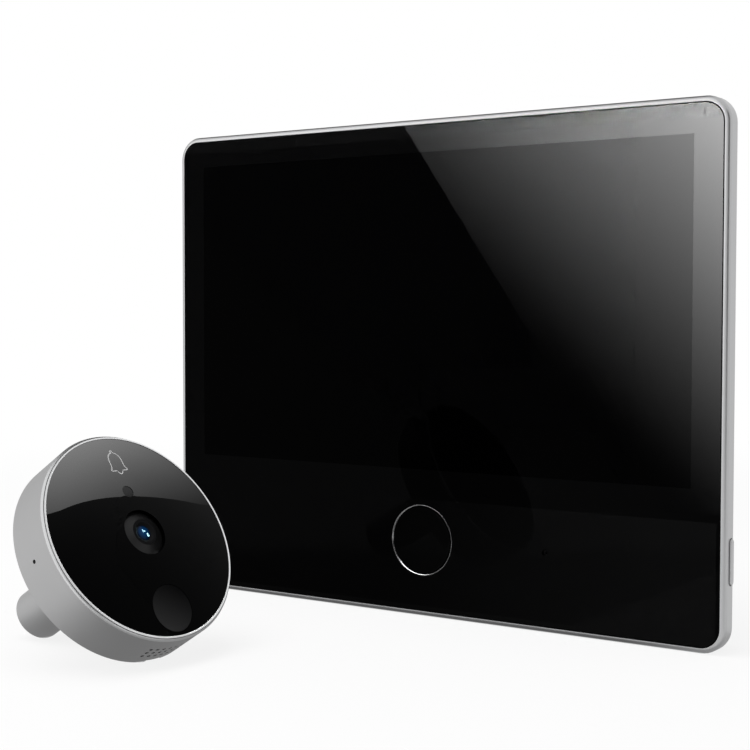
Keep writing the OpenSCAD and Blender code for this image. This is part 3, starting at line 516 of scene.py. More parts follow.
@dataclass(frozen=True)
class Finish:
    """One finish: its colour, how it shines, and the grain on it.

    The grain size and the bump depth are in millimetres.
    """

    name: str
    colour: Colour
    metallic: float = 0.0
    roughness: float = 0.4
    specular: float = 0.5
    grain: Grain = Grain.FINE
    size: float = 0.25
    depth: float = 0.004
    tone: float = 0.05
    span: float = 0.04
    turned_on: Matrix | None = field(default=None, compare=False)

    def material(self) -> bpy.types.Material:
        """Gives the finish's material, made once."""
        if self.name in MADE:
            return MADE[self.name]
        mat = bpy.data.materials.new(self.name + "_finish")
        mat.use_nodes = True
        self.dress(Tree(mat.node_tree), mat.node_tree.nodes["Principled BSDF"])
        MADE[self.name] = mat
        return mat

    def grained(self, t: Tree, shader: bpy.types.Node) -> tuple[bpy.types.Node, bpy.types.NodeSocket]:
        """Adds the grain's group and bump.

        Args:
            t: The material's tree.
            shader: Its shader, whose normal is set.

        Returns:
            The group's node and the coordinates' socket.
        """
        where = t.add("ShaderNodeTexCoord").outputs["Object"]
        point = where
        if self.turned_on is not None:
            back = self.turned_on.inverted()
            values = {"Vector": where, "Location": back.to_translation() * MM,
                      "Rotation": back.to_euler()}
            point = t.add("ShaderNodeMapping", values).outputs[0]
        group = t.add("ShaderNodeGroup", node_tree=Grains.get(self.grain))
        t.tree.links.new(point, group.inputs["Vector"])
        group.inputs["Size"].default_value = self.size
        group.inputs["Colour"].default_value = (*self.colour, 1)
        group.inputs["Tone"].default_value = self.tone
        group.inputs["Roughness"].default_value = self.roughness
        group.inputs["Span"].default_value = self.span
        values = {"Strength": 1.0, "Distance": self.depth * MM, "Height": group.outputs["Height"]}
        bump = t.add("ShaderNodeBump", values)
        t.tree.links.new(bump.outputs[0], shader.inputs["Normal"])
        return group, where

    @staticmethod
    def mixed(t: Tree, share: bpy.types.NodeSocket, first: object, second: object) -> bpy.types.NodeSocket:
        """Adds a mix of two colours.

        Args:
            t: The material's tree.
            share: The second colour's share.
            first: The first colour, or its socket.
            second: The second colour, or its socket.

        Returns:
            The mixed colour's socket.
        """
        values = {0: share, MIX_FIRST: first, MIX_SECOND: second}
        return t.add("ShaderNodeMix", values, data_type="RGBA", clamp_factor=True).outputs[MIX_COLOUR]

    def colour_of(self, t: Tree, group: bpy.types.Node, where: bpy.types.NodeSocket) -> bpy.types.NodeSocket:
        """Gives the colour at a place: the grain's own."""
        return group.outputs["Colour"]

    def dress(self, t: Tree, shader: bpy.types.Node) -> None:
        """Sets the shader up."""
        group, where = self.grained(t, shader)
        t.tree.links.new(self.colour_of(t, group, where), shader.inputs["Base Color"])
        t.tree.links.new(group.outputs["Roughness"], shader.inputs["Roughness"])
        shader.inputs["Metallic"].default_value = self.metallic
        shader.inputs["Specular IOR Level"].default_value = self.specular


@dataclass(frozen=True)
class PaneFinish(Finish):
    """Coated black glass: a printed border, and a deeper black window over the screen."""

    window: Colour = (0.0002, 0.0002, 0.00025)
    half_width: float = 77.1
    low: float = 39.9
    high: float = 125.1
    border_shine: float = 0.011

    def inside(self, t: Tree, where: bpy.types.NodeSocket) -> bpy.types.NodeSocket:
        """Gives one for a place in the window and nought for one on the border."""
        parts = t.add("ShaderNodeSeparateXYZ", {0: where}).outputs
        beside = t.math("LESS_THAN", t.math("ABSOLUTE", parts[0]), self.half_width * MM)
        above = t.math("GREATER_THAN", parts[2], self.low * MM)
        below = t.math("LESS_THAN", parts[2], self.high * MM)
        return t.math("MULTIPLY", beside, t.math("MULTIPLY", above, below))

    def colour_of(self, t: Tree, group: bpy.types.Node, where: bpy.types.NodeSocket) -> bpy.types.NodeSocket:
        """Gives the colour at a place, with the window told from the border."""
        return self.mixed(t, self.inside(t, where), group.outputs["Colour"], (*self.window, 1))

    def dress(self, t: Tree, shader: bpy.types.Node) -> None:
        """Sets the shader up, with a shinier border."""
        super().dress(t, shader)
        where = t.add("ShaderNodeTexCoord").outputs["Object"]
        outside = t.math("SUBTRACT", 1.0, self.inside(t, where))
        t.tree.links.new(t.math("MULTIPLY", outside, self.border_shine), shader.inputs["Coat Weight"])
        shader.inputs["Coat Roughness"].default_value = self.roughness


@dataclass(frozen=True)
class LensFinish(Finish):
    """Coated lens: deep blue in the middle, darker to the rim, under a clear coat."""

    middle: Sequence[float] = (0.0, 0.0, 0.0)
    radius: float = 1.8
    rim: Colour = (0.002, 0.004, 0.012)
    fall: float = 1.5

    def colour_of(self, t: Tree, group: bpy.types.Node, where: bpy.types.NodeSocket) -> bpy.types.NodeSocket:
        """Gives the coating's colour by distance from the middle."""
        values = {0: where, 1: tuple(self.middle)}
        away = t.add("ShaderNodeVectorMath", values, operation="DISTANCE").outputs["Value"]
        share = t.math("POWER", t.math("DIVIDE", away, self.radius * MM), self.fall)
        return self.mixed(t, share, group.outputs["Colour"], (*self.rim, 1))


@dataclass(frozen=True)
class ShadedWindowFinish(Finish):
    """Moulded black window with painted shading that makes it paler to one side."""

    middle: Sequence[float] = (0.0, 0.0, 0.0)
    toward: Sequence[float] = (0.0, 0.0, -1.0)
    reach: float = 5.7
    # The colour of the painted shading's dark side.
    deep: Colour = (0.0027, 0.0027, 0.0029)
    fall: float = 1.4

    def colour_of(self, t: Tree, group: bpy.types.Node, where: bpy.types.NodeSocket) -> bpy.types.NodeSocket:
        """Gives the colour, with its painted shading, by how far a place lies to that side."""
        values = {0: where, 1: tuple(self.middle)}
        apart = t.add("ShaderNodeVectorMath", values, operation="SUBTRACT").outputs[0]
        values = {0: apart, 1: tuple(self.toward)}
        along = t.add("ShaderNodeVectorMath", values, operation="DOT_PRODUCT").outputs["Value"]
        edge = self.reach * MM
        share = t.add("ShaderNodeMapRange", {"Value": along, 1: -edge, 2: edge}).outputs[0]
        return self.mixed(t, t.math("POWER", share, self.fall), (*self.deep, 1), group.outputs["Colour"])


FRAME_METAL = Finish("frame_metal", (0.44, 0.442, 0.447), 1.0, 0.34, size=0.12, depth=0.0015, tone=0.03)
HOUSING_METAL = Finish("housing_metal", (0.45, 0.45, 0.453), 1.0, 0.42, size=0.12, depth=0.0015, tone=0.03)
BARREL_METAL = Finish("barrel_metal", (0.42, 0.42, 0.423), 1.0, 0.36, grain=Grain.TURNED, size=0.15,
                      depth=0.001, tone=0.03, turned_on=UNIT)
BRIGHT_METAL = Finish("bright_metal", (0.68, 0.683, 0.688), 1.0, 0.36, grain=Grain.TURNED, size=0.1,
                      depth=0.0006, tone=0.02, turned_on=UNIT)
RING_METAL = Finish("ring_metal", (0.24, 0.24, 0.243), 1.0, 0.16, size=0.1, depth=0.0006, tone=0.02)
COVER_GLASS = PaneFinish("cover_glass", (0.0015, 0.0015, 0.0016), roughness=0.012, specular=0.01, size=30,
                         depth=0.0, tone=0.1, span=0.004)
KEY_GLASS = Finish("key_cap", (0.0017, 0.0017, 0.0018), roughness=0.03, specular=0.0125, size=20,
                   depth=0.0, tone=0.1, span=0.01)
FACE_GLASS = Finish("face_glass", (0.0006, 0.0006, 0.0007), roughness=0.012, specular=0.0125, size=30,
                    depth=0.0, tone=0.1, span=0.004)
HOOD_BLACK = Finish("hood_plastic", (0.004, 0.004, 0.0042), roughness=0.42, specular=0.3, size=0.08,
                    depth=0.001, tone=0.08)
LENS_BLACK = Finish("lens_black", (0.006, 0.006, 0.0065), roughness=0.6, specular=0.06, grain=Grain.TURNED,
                    size=0.2, depth=0.004, tone=0.1, turned_on=UNIT)
# Painted shading: the motion window grows paler along its given direction and darker on the other side.
SHADED_MOTION_WINDOW = ShadedWindowFinish("motion_window", (0.0305, 0.0305, 0.031), roughness=0.35, specular=0.06,
                             size=0.1, depth=0.001, tone=0.06,
                             middle=tuple(UNIT @ Vector((0, -19.3, 12.8))),
                             toward=tuple((UNIT.to_3x3() @ Vector((-0.44, -0.9, 0))).normalized()))
LIGHT_PIPE = Finish("light_pipe", (0.0006, 0.0006, 0.0008), roughness=0.06, specular=0.006, size=0.2,
                    tone=0.1)
SIGN_WHITE = Finish("bell_print", (0.6, 0.6, 0.6), roughness=0.5, size=0.1, depth=0.001, tone=0.05)
COVER_PLASTIC = Finish("cover_plastic", (0.028, 0.028, 0.03), roughness=0.52, specular=0.4,
                       grain=Grain.MOULDED, size=0.35, depth=0.02, tone=0.08, span=0.06)
BRACKET_STEEL = Finish("bracket_steel", (0.45, 0.455, 0.465), 1.0, 0.36, grain=Grain.DRAWN, size=0.12,
                       depth=0.002, tone=0.08, span=0.08)
SCREW_STEEL = Finish("screw_steel", (0.3, 0.3, 0.31), 1.0, 0.3, size=0.15, depth=0.002, tone=0.1)
GASKET_RUBBER = Finish("gasket_rubber", (0.016, 0.016, 0.016), roughness=0.75, specular=0.25, size=0.2,
                       depth=0.01, tone=0.12)
SOCKET_METAL = Finish("socket_metal", (0.6, 0.6, 0.61), 1.0, 0.28, grain=Grain.DRAWN, size=0.1, depth=0.001)
SOCKET_PLASTIC = Finish("socket_plastic", (0.62, 0.59, 0.5), roughness=0.5, size=0.2, depth=0.004)
GOLD = Finish("contact_gold", (0.9, 0.66, 0.3), 1.0, 0.22, size=0.1, depth=0.0006, tone=0.06)
BOARD = Finish("circuit_board", (0.01, 0.07, 0.03), roughness=0.35, grain=Grain.TRACKS, size=2.2,
               depth=0.02, tone=0.5, span=0.05)
RUBBER = Finish("boot_rubber", (0.02, 0.02, 0.02), roughness=0.7, specular=0.3, size=0.2, depth=0.008)
FOIL = Finish("battery_foil", (0.3, 0.32, 0.36), 0.6, 0.4, grain=Grain.MOULDED, size=3, depth=0.05)
GAUZE_BLACK = Finish("speaker_body", (0.02, 0.02, 0.021), roughness=0.6, grain=Grain.WEAVE, size=0.5,
                     depth=0.08, tone=0.5)
SWITCH = Finish("switch_plastic", (0.05, 0.05, 0.055), roughness=0.45, size=0.2)
ADHESIVE = Finish("adhesive", (0.01, 0.01, 0.01), roughness=0.6, grain=Grain.MOULDED, size=0.6, depth=0.02)
SCREEN = Finish("screen", (0.02, 0.021, 0.024), 0.3, 0.35, grain=Grain.DRAWN, size=0.3)
CHIP = Finish("chip", (0.03, 0.032, 0.036), roughness=0.4, size=0.3, depth=0.004, tone=0.15)
TOUCH_METAL = Finish("touch_metal", (0.72, 0.5, 0.3), 1.0, 0.35, grain=Grain.DRAWN, size=0.2)

NODE_FINISHES: dict[str, Finish] = {
    "front_frame": FRAME_METAL, "glass_adhesive": ADHESIVE, "display_panel": SCREEN,
    "home_switch": SWITCH, "side_switch": SWITCH, "key_board": BOARD, "indoor_microphone": RUBBER,
    "charging_socket": SOCKET_METAL, "main_board": BOARD, "board_shield": SOCKET_METAL,
    "cable_socket": SOCKET_PLASTIC, "battery": FOIL, "indoor_speaker": GAUZE_BLACK,
    "rear_cover": COVER_PLASTIC, "door_bracket": BRACKET_STEEL, "camera_housing": HOUSING_METAL,
    "bezel_ring": BRIGHT_METAL, "face_glass": FACE_GLASS, "face_adhesive": ADHESIVE,
    "lens_hood": HOOD_BLACK, "lens_barrel": LENS_BLACK, "lens_holder": HOOD_BLACK,
    "image_sensor": CHIP, "pir_lens": SHADED_MOTION_WINDOW, "pir_sensor": CHIP, "light_sensor": LIGHT_PIPE,
    "ir_leds": CHIP, "bell_touch_pad": TOUCH_METAL, "camera_board": BOARD,
    "outdoor_speaker": GAUZE_BLACK, "outdoor_microphone": RUBBER, "rear_plate": COVER_PLASTIC,
    "door_gasket": GASKET_RUBBER, "barrel_tube": BARREL_METAL, "cover_glass": COVER_GLASS,
    "home_ring": RING_METAL, "home_button": KEY_GLASS, "side_button": FRAME_METAL,
    "cover_screws": SCREW_STEEL, "plate_screws": SCREW_STEEL,
}


def seat(obj: bpy.types.Object, finish: Finish, body: Body, slot: str, *nodes: str) -> bpy.types.Object:
    """Gives a piece its finish, its body and the solids it stands for.

    Args:
        obj: The piece.
        finish: Its finish.
        body: The body that it moves with.
        slot: The record's slot of its finish; it is not used.
        nodes: The solids that it replaces.

    Returns:
        The piece.
    """
    obj.data.materials.clear()
    obj.data.materials.append(finish.material())
    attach(obj, body.value)
    if nodes:
        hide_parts(*nodes)
    log.info("%s rides on %s, %d faces", obj.name, body.value, len(obj.data.polygons))
    return obj


# What repeats


class Repeats:
    """Geometry trees for what repeats or follows a path, with named inputs."""

    @staticmethod
    def start(name: str, inputs: Sequence[tuple[str, str]]) -> tuple[Tree, bpy.types.NodeOutputs]:
        """Starts a tree.

        Args:
            name: The tree's name.
            inputs: Name and kind of each of its inputs, besides Geometry and Finish.

        Returns:
            The tree and the sockets of its inputs.
        """
        group = bpy.data.node_groups.new(name, "GeometryNodeTree")
        group.is_modifier = True
        for label, kind in (("Geometry", "Geometry"), *inputs, ("Finish", "Material")):
            group.interface.new_socket(label, in_out="INPUT", socket_type="NodeSocket" + kind)
        group.interface.new_socket("Geometry", in_out="OUTPUT", socket_type="NodeSocketGeometry")
        t = Tree(group)
        return t, t.add("NodeGroupInput").outputs

    @staticmethod
    def end(t: Tree, shape: bpy.types.NodeSocket, finish: bpy.types.NodeSocket) -> bpy.types.NodeTree:
        """Ends a tree with real meshes and their finish, and gives it."""
        whole = t.add("GeometryNodeRealizeInstances", {0: shape})
        dressed = t.add("GeometryNodeSetMaterial", {"Geometry": whole.outputs[0], "Material": finish})
        t.add("NodeGroupOutput", {0: dressed.outputs[0]})
        return t.tree

    @staticmethod
    def tube(t: Tree, path: bpy.types.NodeSocket, sides: int, radius: object) -> bpy.types.NodeSocket:
        """Runs a round tube along a path and gives its mesh."""
        even = t.add("GeometryNodeSetCurveRadius", {"Curve": path, "Radius": 1.0})
        ring = t.add("GeometryNodeCurvePrimitiveCircle", {"Resolution": sides, "Radius": radius})
        values = {"Curve": even.outputs[0], "Profile Curve": ring.outputs[0], "Fill Caps": True}
        return t.add("GeometryNodeCurveToMesh", values).outputs[0]

    @classmethod
    @functools.cache
    def scatter(cls) -> bpy.types.NodeTree:
        """Makes, once, the tree that sets a shape on each point, turned by the point's own turn."""
        t, given = cls.start("shape on points", (("Shape", "Object"),))
        shape = t.add("GeometryNodeObjectInfo", {"Object": given["Shape"]})
        turn = t.add("GeometryNodeInputNamedAttribute", {"Name": "turn"}, data_type="FLOAT_VECTOR")
        values = {"Points": given["Geometry"], "Instance": shape.outputs["Geometry"],
                  "Rotation": turn.outputs[0]}
        many = t.add("GeometryNodeInstanceOnPoints", values)
        return cls.end(t, many.outputs[0], given["Finish"])

    @classmethod
    def thread(cls) -> bpy.types.NodeTree:
        """Makes the tree of a screw thread: a ridge along a spiral."""
        t, given = cls.start("screw thread", (("Radius", "Float"), ("Length", "Float"), ("Turns", "Float"),
                                              ("Depth", "Float")))
        values = {"Resolution": 64, "Rotations": given["Turns"], "Start Radius": given["Radius"],
                  "End Radius": given["Radius"], "Height": given["Length"]}
        path = t.add("GeometryNodeCurveSpiral", values)
        return cls.end(t, cls.tube(t, path.outputs[0], 4, given["Depth"]), given["Finish"])

    @classmethod
    def ribs(cls) -> bpy.types.NodeTree:
        """Makes the tree of ring-shaped ribs, one inside the other."""
        t, given = cls.start("ring ribs", (("First", "Float"), ("Step", "Float"), ("Count", "Int"),
                                           ("Depth", "Float")))
        line = t.add("GeometryNodeMeshLine", {"Count": given["Count"], "Offset": (0.0, 0.0, 0.0)})
        index = t.add("GeometryNodeInputIndex").outputs[0]
        size = t.math("MULTIPLY_ADD", index, given["Step"], given["First"])
        hoop = t.add("GeometryNodeCurvePrimitiveCircle", {"Resolution": 96, "Radius": 1.0})
        values = {"Points": line.outputs[0], "Instance": hoop.outputs[0], "Scale": size}
        hoops = t.add("GeometryNodeInstanceOnPoints", values)
        path = t.add("GeometryNodeRealizeInstances", {0: hoops.outputs[0]})
        return cls.end(t, cls.tube(t, path.outputs[0], 8, given["Depth"]), given["Finish"])

    @classmethod
    def gauze(cls) -> bpy.types.NodeTree:
        """Makes the tree of a woven strip: waving wires that cross over and under each other."""
        t, given = cls.start("woven gauze", (("Width", "Float"), ("Height", "Float"), ("Pitch", "Float"),
                                             ("Wire", "Float")))
        both = t.add("GeometryNodeJoinGeometry")
        for long, wide, quarter in (("Width", "Height", 0.0), ("Height", "Width", math.pi / 2)):
            half = t.math("MULTIPLY", given[long], 0.5)
            sides = [t.math("MULTIPLY", half, way) for way in (-1, 1)]
            ends = [t.add("ShaderNodeCombineXYZ", {0: side}).outputs[0] for side in sides]
            line = t.add("GeometryNodeCurvePrimitiveLine", {"Start": ends[0], "End": ends[1]})
            count = t.math("MULTIPLY", t.math("DIVIDE", given[long], given["Pitch"]), 4.0)
            fine = t.add("GeometryNodeResampleCurve", {"Curve": line.outputs[0], "Count": count})
            x = t.add("ShaderNodeSeparateXYZ", {0: t.add("GeometryNodeInputPosition").outputs[0]}).outputs[0]
            turn = t.math("MULTIPLY", t.math("DIVIDE", x, given["Pitch"]), math.pi)
            rise = t.math("MULTIPLY", t.math("COSINE", turn), given["Wire"])
            lift = t.add("ShaderNodeCombineXYZ", {2: rise}).outputs[0]
            wave = t.add("GeometryNodeSetPosition", {"Geometry": fine.outputs[0], "Offset": lift})
            low = t.add("ShaderNodeCombineXYZ", {1: t.math("MULTIPLY", given[wide], -0.5)}).outputs[0]
            step = t.add("ShaderNodeCombineXYZ", {1: given["Pitch"]}).outputs[0]
            rows = t.math("ADD", t.math("DIVIDE", given[wide], given["Pitch"]), 1.0)
            points = t.add("GeometryNodeMeshLine", {"Count": rows, "Start Location": low, "Offset": step})
            odd = t.math("MODULO", t.add("GeometryNodeInputIndex").outputs[0], 2.0)
            flip = t.add("ShaderNodeCombineXYZ", {0: 1.0, 1: 1.0, 2: t.math("MULTIPLY_ADD", odd, -2.0, 1.0)})
            values = {"Points": points.outputs[0], "Instance": wave.outputs[0], "Scale": flip.outputs[0]}
            wires = t.add("GeometryNodeInstanceOnPoints", values)
            paths = t.add("GeometryNodeRealizeInstances", {0: wires.outputs[0]})
            tubes = cls.tube(t, paths.outputs[0], 5, given["Wire"])
            laid = t.add("GeometryNodeTransform", {"Geometry": tubes, "Rotation": (0.0, 0.0, quarter)})
            t.tree.links.new(laid.outputs[0], both.inputs[0])
        return cls.end(t, both.outputs[0], given["Finish"])

    @staticmethod
    def grow(name: str, tree: bpy.types.NodeTree, values: dict[str, object], place: Matrix,
             points: Sequence[Sequence[float]] = (), turn: Sequence[float] = (0, 0, 0)) -> bpy.types.Object:
        """Runs a tree and keeps its result as a plain mesh.

        Args:
            name: Name of the piece.
            tree: The geometry tree.
            values: Its inputs by name.
            place: Matrix from local millimetres to world metres.
            points: The points that it works on.
            turn: How a shape on a point is turned.

        Returns:
            The object, at the origin, with its place in its mesh.
        """
        mesh = bpy.data.meshes.new(name)
        mesh.from_pydata([tuple(q) for q in points], [], [])
        mesh.attributes.new("turn", "FLOAT_VECTOR", "POINT")
        mesh.attributes["turn"].data.foreach_set("vector", list(turn) * len(points))
        obj = placed(name, mesh)
        run = obj.modifiers.new("tree", "NODES")
        run.node_group = tree
        for item in tree.interface.items_tree:
            if item.in_out == "INPUT" and item.name in values:
                run[item.identifier] = values[item.name]
        settled(obj)
        obj.data.transform(place)
        return obj

    @classmethod
    def copies(cls, name: str, shape: bpy.types.Object, finish: Finish, place: Matrix,
               points: Sequence[Sequence[float]], turn: Sequence[float] = (0, 0, 0)) -> bpy.types.Object:
        """Sets copies of a shape on points as one piece, and removes the shape."""
        values = {"Shape": shape, "Finish": finish.material()}
        obj = cls.grow(name, cls.scatter(), values, place, points, turn)
        bpy.data.objects.remove(shape)
        return obj


@dataclass
class Screw:
    """A small screw with a low head and a hexagon drive, which points along z."""

    head_r: float
    head_t: float
    shaft_r: float
    shaft_l: float
    drive_r: float = 0.8
    drive_t: float = 0.6
    head_edge: float = 0.25
    drive_edge: float = 0.08
    tip_l: float = 0.4
    tip_share: float = 0.6

    def shape(self) -> bpy.types.Object:
        """Builds one screw, its head standing on z = 0."""
        top = self.head_t
        floor = top - self.drive_t
        rings = [(d, top - drop) for d, drop in soft_edge(self.head_edge)] + [(0, floor)]
        drive = [(self.drive_edge, top), (0, top - self.drive_edge), (0, floor)]
        head = plate([circle(self.head_r, steps=48), circle(self.drive_r, steps=6, hole=True)], rings, drive)
        tip = -self.shaft_l
        body = turned([(0, floor), (self.head_r, floor), (self.head_r, 0), (self.shaft_r, 0),
                       (self.shaft_r, tip + self.tip_l), (self.shaft_r * self.tip_share, tip), (0, tip)], 48)
        return solid("screw", joined([head, body]), Matrix())


# Monitor


@dataclass
class RearCover:
    """The moulded rear cover with its screws, sockets' contacts and the gauze in its sound slots."""

    corner: float = 7.0
    crease: float = math.radians(25)
    weld: float = 0.001
    screw_x: float = 76.0
    screw_y: float = -0.1
    screw_z: float = 8.5
    slot_x: float = 56.2
    slot_z: float = 72.5
    slot_w: float = 15.7
    slot_h: float = 1.15
    slot_pitch: float = 3.0
    slot_count: int = 6
    gauze_y: float = 5.95
    gauze_pitch: float = 0.4
    gauze_wire: float = 0.07
    tongue_x: float = -77.6
    tongue_y: float = -0.1
    tongue_z: float = 22.5
    tongue_t: float = 0.7
    contact_l: float = 3.4
    contact_w: float = 0.26
    contact_h: float = 0.06
    contact_edge: float = 0.02
    contact_pitch: float = 0.45
    contacts: int = 12
    pins_z: float = 80.5
    pins_y: float = 2.1
    pin_w: float = 0.4
    pin_corner: float = 0.08
    pin_l: float = 2.2
    pin_point: float = 0.3
    pin_taper: float = 0.14
    pin_root: float = 0.2
    pin_count: int = 7
    pin_pitch: float = 1.25

    def shell(self) -> bpy.types.Object:
        """Copies the cover and rounds its four corners a little more, behind the frame."""
        low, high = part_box("rear_cover")
        bm = bmesh.new()
        bm.from_mesh(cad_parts["rear_cover"].data)
        bmesh.ops.remove_doubles(bm, verts=bm.verts, dist=self.weld * MM)
        r = self.corner * MM
        waist = (low[2] + high[2]) / 2
        for v in bm.verts:
            mid_x = (low[0] + r) if v.co.x < 0 else (high[0] - r)
            mid_z = (low[2] + r) if v.co.z < waist else (high[2] - r)
            out = Vector((v.co.x - mid_x, 0, v.co.z - mid_z))
            beside = abs(v.co.x) > abs(mid_x) and (v.co.z < mid_z) == (mid_z < waist)
            if beside and out.length > r:
                out *= r / out.length
                v.co.x = mid_x + out.x
                v.co.z = mid_z + out.z
        shaded(bm, self.crease)
        obj = evened(placed("cover_shell", mesh_of("cover_shell", bm)))
        return seat(obj, COVER_PLASTIC, Body.MONITOR, "cover_plastic", "rear_cover")

    def screws(self) -> bpy.types.Object:
        """Sets the two screws at the foot of the cover."""
        screw = Screw(head_r=1.9, head_t=1.3, shaft_r=1.0, shaft_l=4.3).shape()
        points = [(side * self.screw_x, self.screw_y, self.screw_z) for side in (-1, 1)]
        obj = Repeats.copies("cover_screw_set", screw, SCREW_STEEL, TO_METRES, points, TO_BACK)
        return seat(obj, SCREW_STEEL, Body.MONITOR, "screw_steel", "cover_screws")

    def gauze(self) -> bpy.types.Object:
        """Lays a woven strip in each sound slot."""
        values = {"Width": self.slot_w, "Height": self.slot_h, "Pitch": self.gauze_pitch,
                  "Wire": self.gauze_wire, "Finish": GAUZE_BLACK.material()}
        strip = Repeats.grow("strip", Repeats.gauze(), values, Matrix())
        first = self.slot_z - self.slot_pitch * (self.slot_count - 1) / 2
        points = [(self.slot_x, self.gauze_y, first + self.slot_pitch * i) for i in range(self.slot_count)]
        obj = Repeats.copies("slot_gauze", strip, GAUZE_BLACK, TO_METRES, points, TO_BACK)
        return seat(obj, GAUZE_BLACK, Body.MONITOR, "speaker_body")

    def contact_rows(self) -> bpy.types.Object:
        """Sets the gold contacts on both sides of the charging socket's tongue."""
        outline = round_rect(self.contact_l, self.contact_w, self.contact_h, steps=3)
        soft = self.contact_edge
        rings = [(soft, self.contact_h), (0, self.contact_h - soft), (0, -soft)]
        blade = solid("blade", plate([outline], rings), Matrix())
        first = self.tongue_z - self.contact_pitch * (self.contacts - 1) / 2
        rows = [first + self.contact_pitch * i for i in range(self.contacts)]
        points = [(self.tongue_x, self.tongue_y - self.tongue_t / 2, z) for z in rows]
        obj = Repeats.copies("socket_contacts", blade, GOLD, TO_METRES, points, TO_FRONT)
        return seat(obj, GOLD, Body.MONITOR, "socket_metal")

    def cable_pins(self) -> bpy.types.Object:
        """Sets the pins inside the cable socket in the middle of the back."""
        outline = round_rect(self.pin_w, self.pin_w, self.pin_corner, steps=3)
        rings = [(self.pin_taper, self.pin_l), (0, self.pin_l - self.pin_point), (0, -self.pin_root)]
        pin = solid("pin", plate([outline], rings), Matrix())
        first = -self.pin_pitch * (self.pin_count - 1) / 2
        points = [(first + self.pin_pitch * i, self.pins_y, self.pins_z) for i in range(self.pin_count)]
        obj = Repeats.copies("cable_pins", pin, GOLD, TO_METRES, points, TO_BACK)
        return seat(obj, GOLD, Body.MONITOR, "socket_metal")

    def build(self) -> None:
        """Builds its pieces."""
        self.shell()
        self.screws()
        self.gauze()
        self.contact_rows()
        self.cable_pins()


@dataclass
class DoorBracket:
    """The steel plate that is screwed to the door, with four hooks bent from it."""

    width: float = 60.0
    height: float = 54.0
    corner: float = 4.0
    thickness: float = 1.2
    middle_z: float = 80.5
    back_y: float = 7.5
    cable_r: float = 8.0
    screw_r: float = 1.9
    screw_x: float = 25.0
    screw_z: float = 22.0
    hook_x: float = 20.0
    hook_w: float = 8.0
    hook_tops: Sequence[float] = (92.5, 66.5)
    hook_y: float = 1.1
    lip: float = 5.0
    lip_corner: float = 0.5
    bend_r: float = 0.3
    overlap: float = 0.3
    edge: float = 0.25
    hook_edge: float = 0.15

    def sheet(self) -> bmesh.types.BMesh:
        """Builds the plate with a soft edge, the cable hole and countersunk screw holes."""
        holes = [circle(self.cable_r, 0, 0, 96, hole=True)]
        holes += [circle(self.screw_r, i * self.screw_x, k * self.screw_z, 48, hole=True)
                  for i in (-1, 1) for k in (-1, 1)]
        outline = round_rect(self.width, self.height, self.corner)
        soft = [(d, -drop) for d, drop in soft_edge(self.edge)]
        rings = soft + [(d, drop - self.thickness) for d, drop in reversed(soft_edge(self.edge))]
        soft_hole = [(self.edge, 0), (0, -self.edge)]
        soft_hole += [(0, self.edge - self.thickness), (self.edge, -self.thickness)]
        bm = plate([outline] + holes, rings, soft_hole)
        bm.transform(TO_MM @ facing((-1, 0, 0), (0, 0, 1), (0, self.back_y, self.middle_z)))
        return bm

    def hook(self, x: float, top: float) -> bmesh.types.BMesh:
        """Builds one hook as a bent strip.

        Args:
            x: Its middle.
            top: Height of the upper face of its arm.

        Returns:
            The mesh, in the set's millimetres.
        """
        t = self.thickness
        root = self.back_y - t + self.overlap
        outline = softened([
            (self.hook_y, top - t, t), (root, top - t, 0), (root, top, 0),
            (self.hook_y + t, top, self.bend_r), (self.hook_y + t, top + self.lip, self.lip_corner),
            (self.hook_y, top + self.lip, self.lip_corner),
        ], 6)
        half = self.hook_w / 2
        soft = soft_edge(self.hook_edge, 3)
        rings = [(d, half - drop) for d, drop in soft] + [(d, drop - half) for d, drop in reversed(soft)]
        bm = plate([outline], rings)
        bm.transform(TO_MM @ facing((0, 1, 0), (0, 0, 1), (x, 0, 0)))
        return bm

    def build(self) -> bpy.types.Object:
        """Builds the plate and its hooks as one piece."""
        parts = [self.sheet()]
        parts += [self.hook(side * self.hook_x, top) for side in (-1, 1) for top in self.hook_tops]
        obj = solid("bracket_plate", joined(parts), TO_METRES)
        return seat(obj, BRACKET_STEEL, Body.BRACKET, "bracket_steel", "door_bracket")


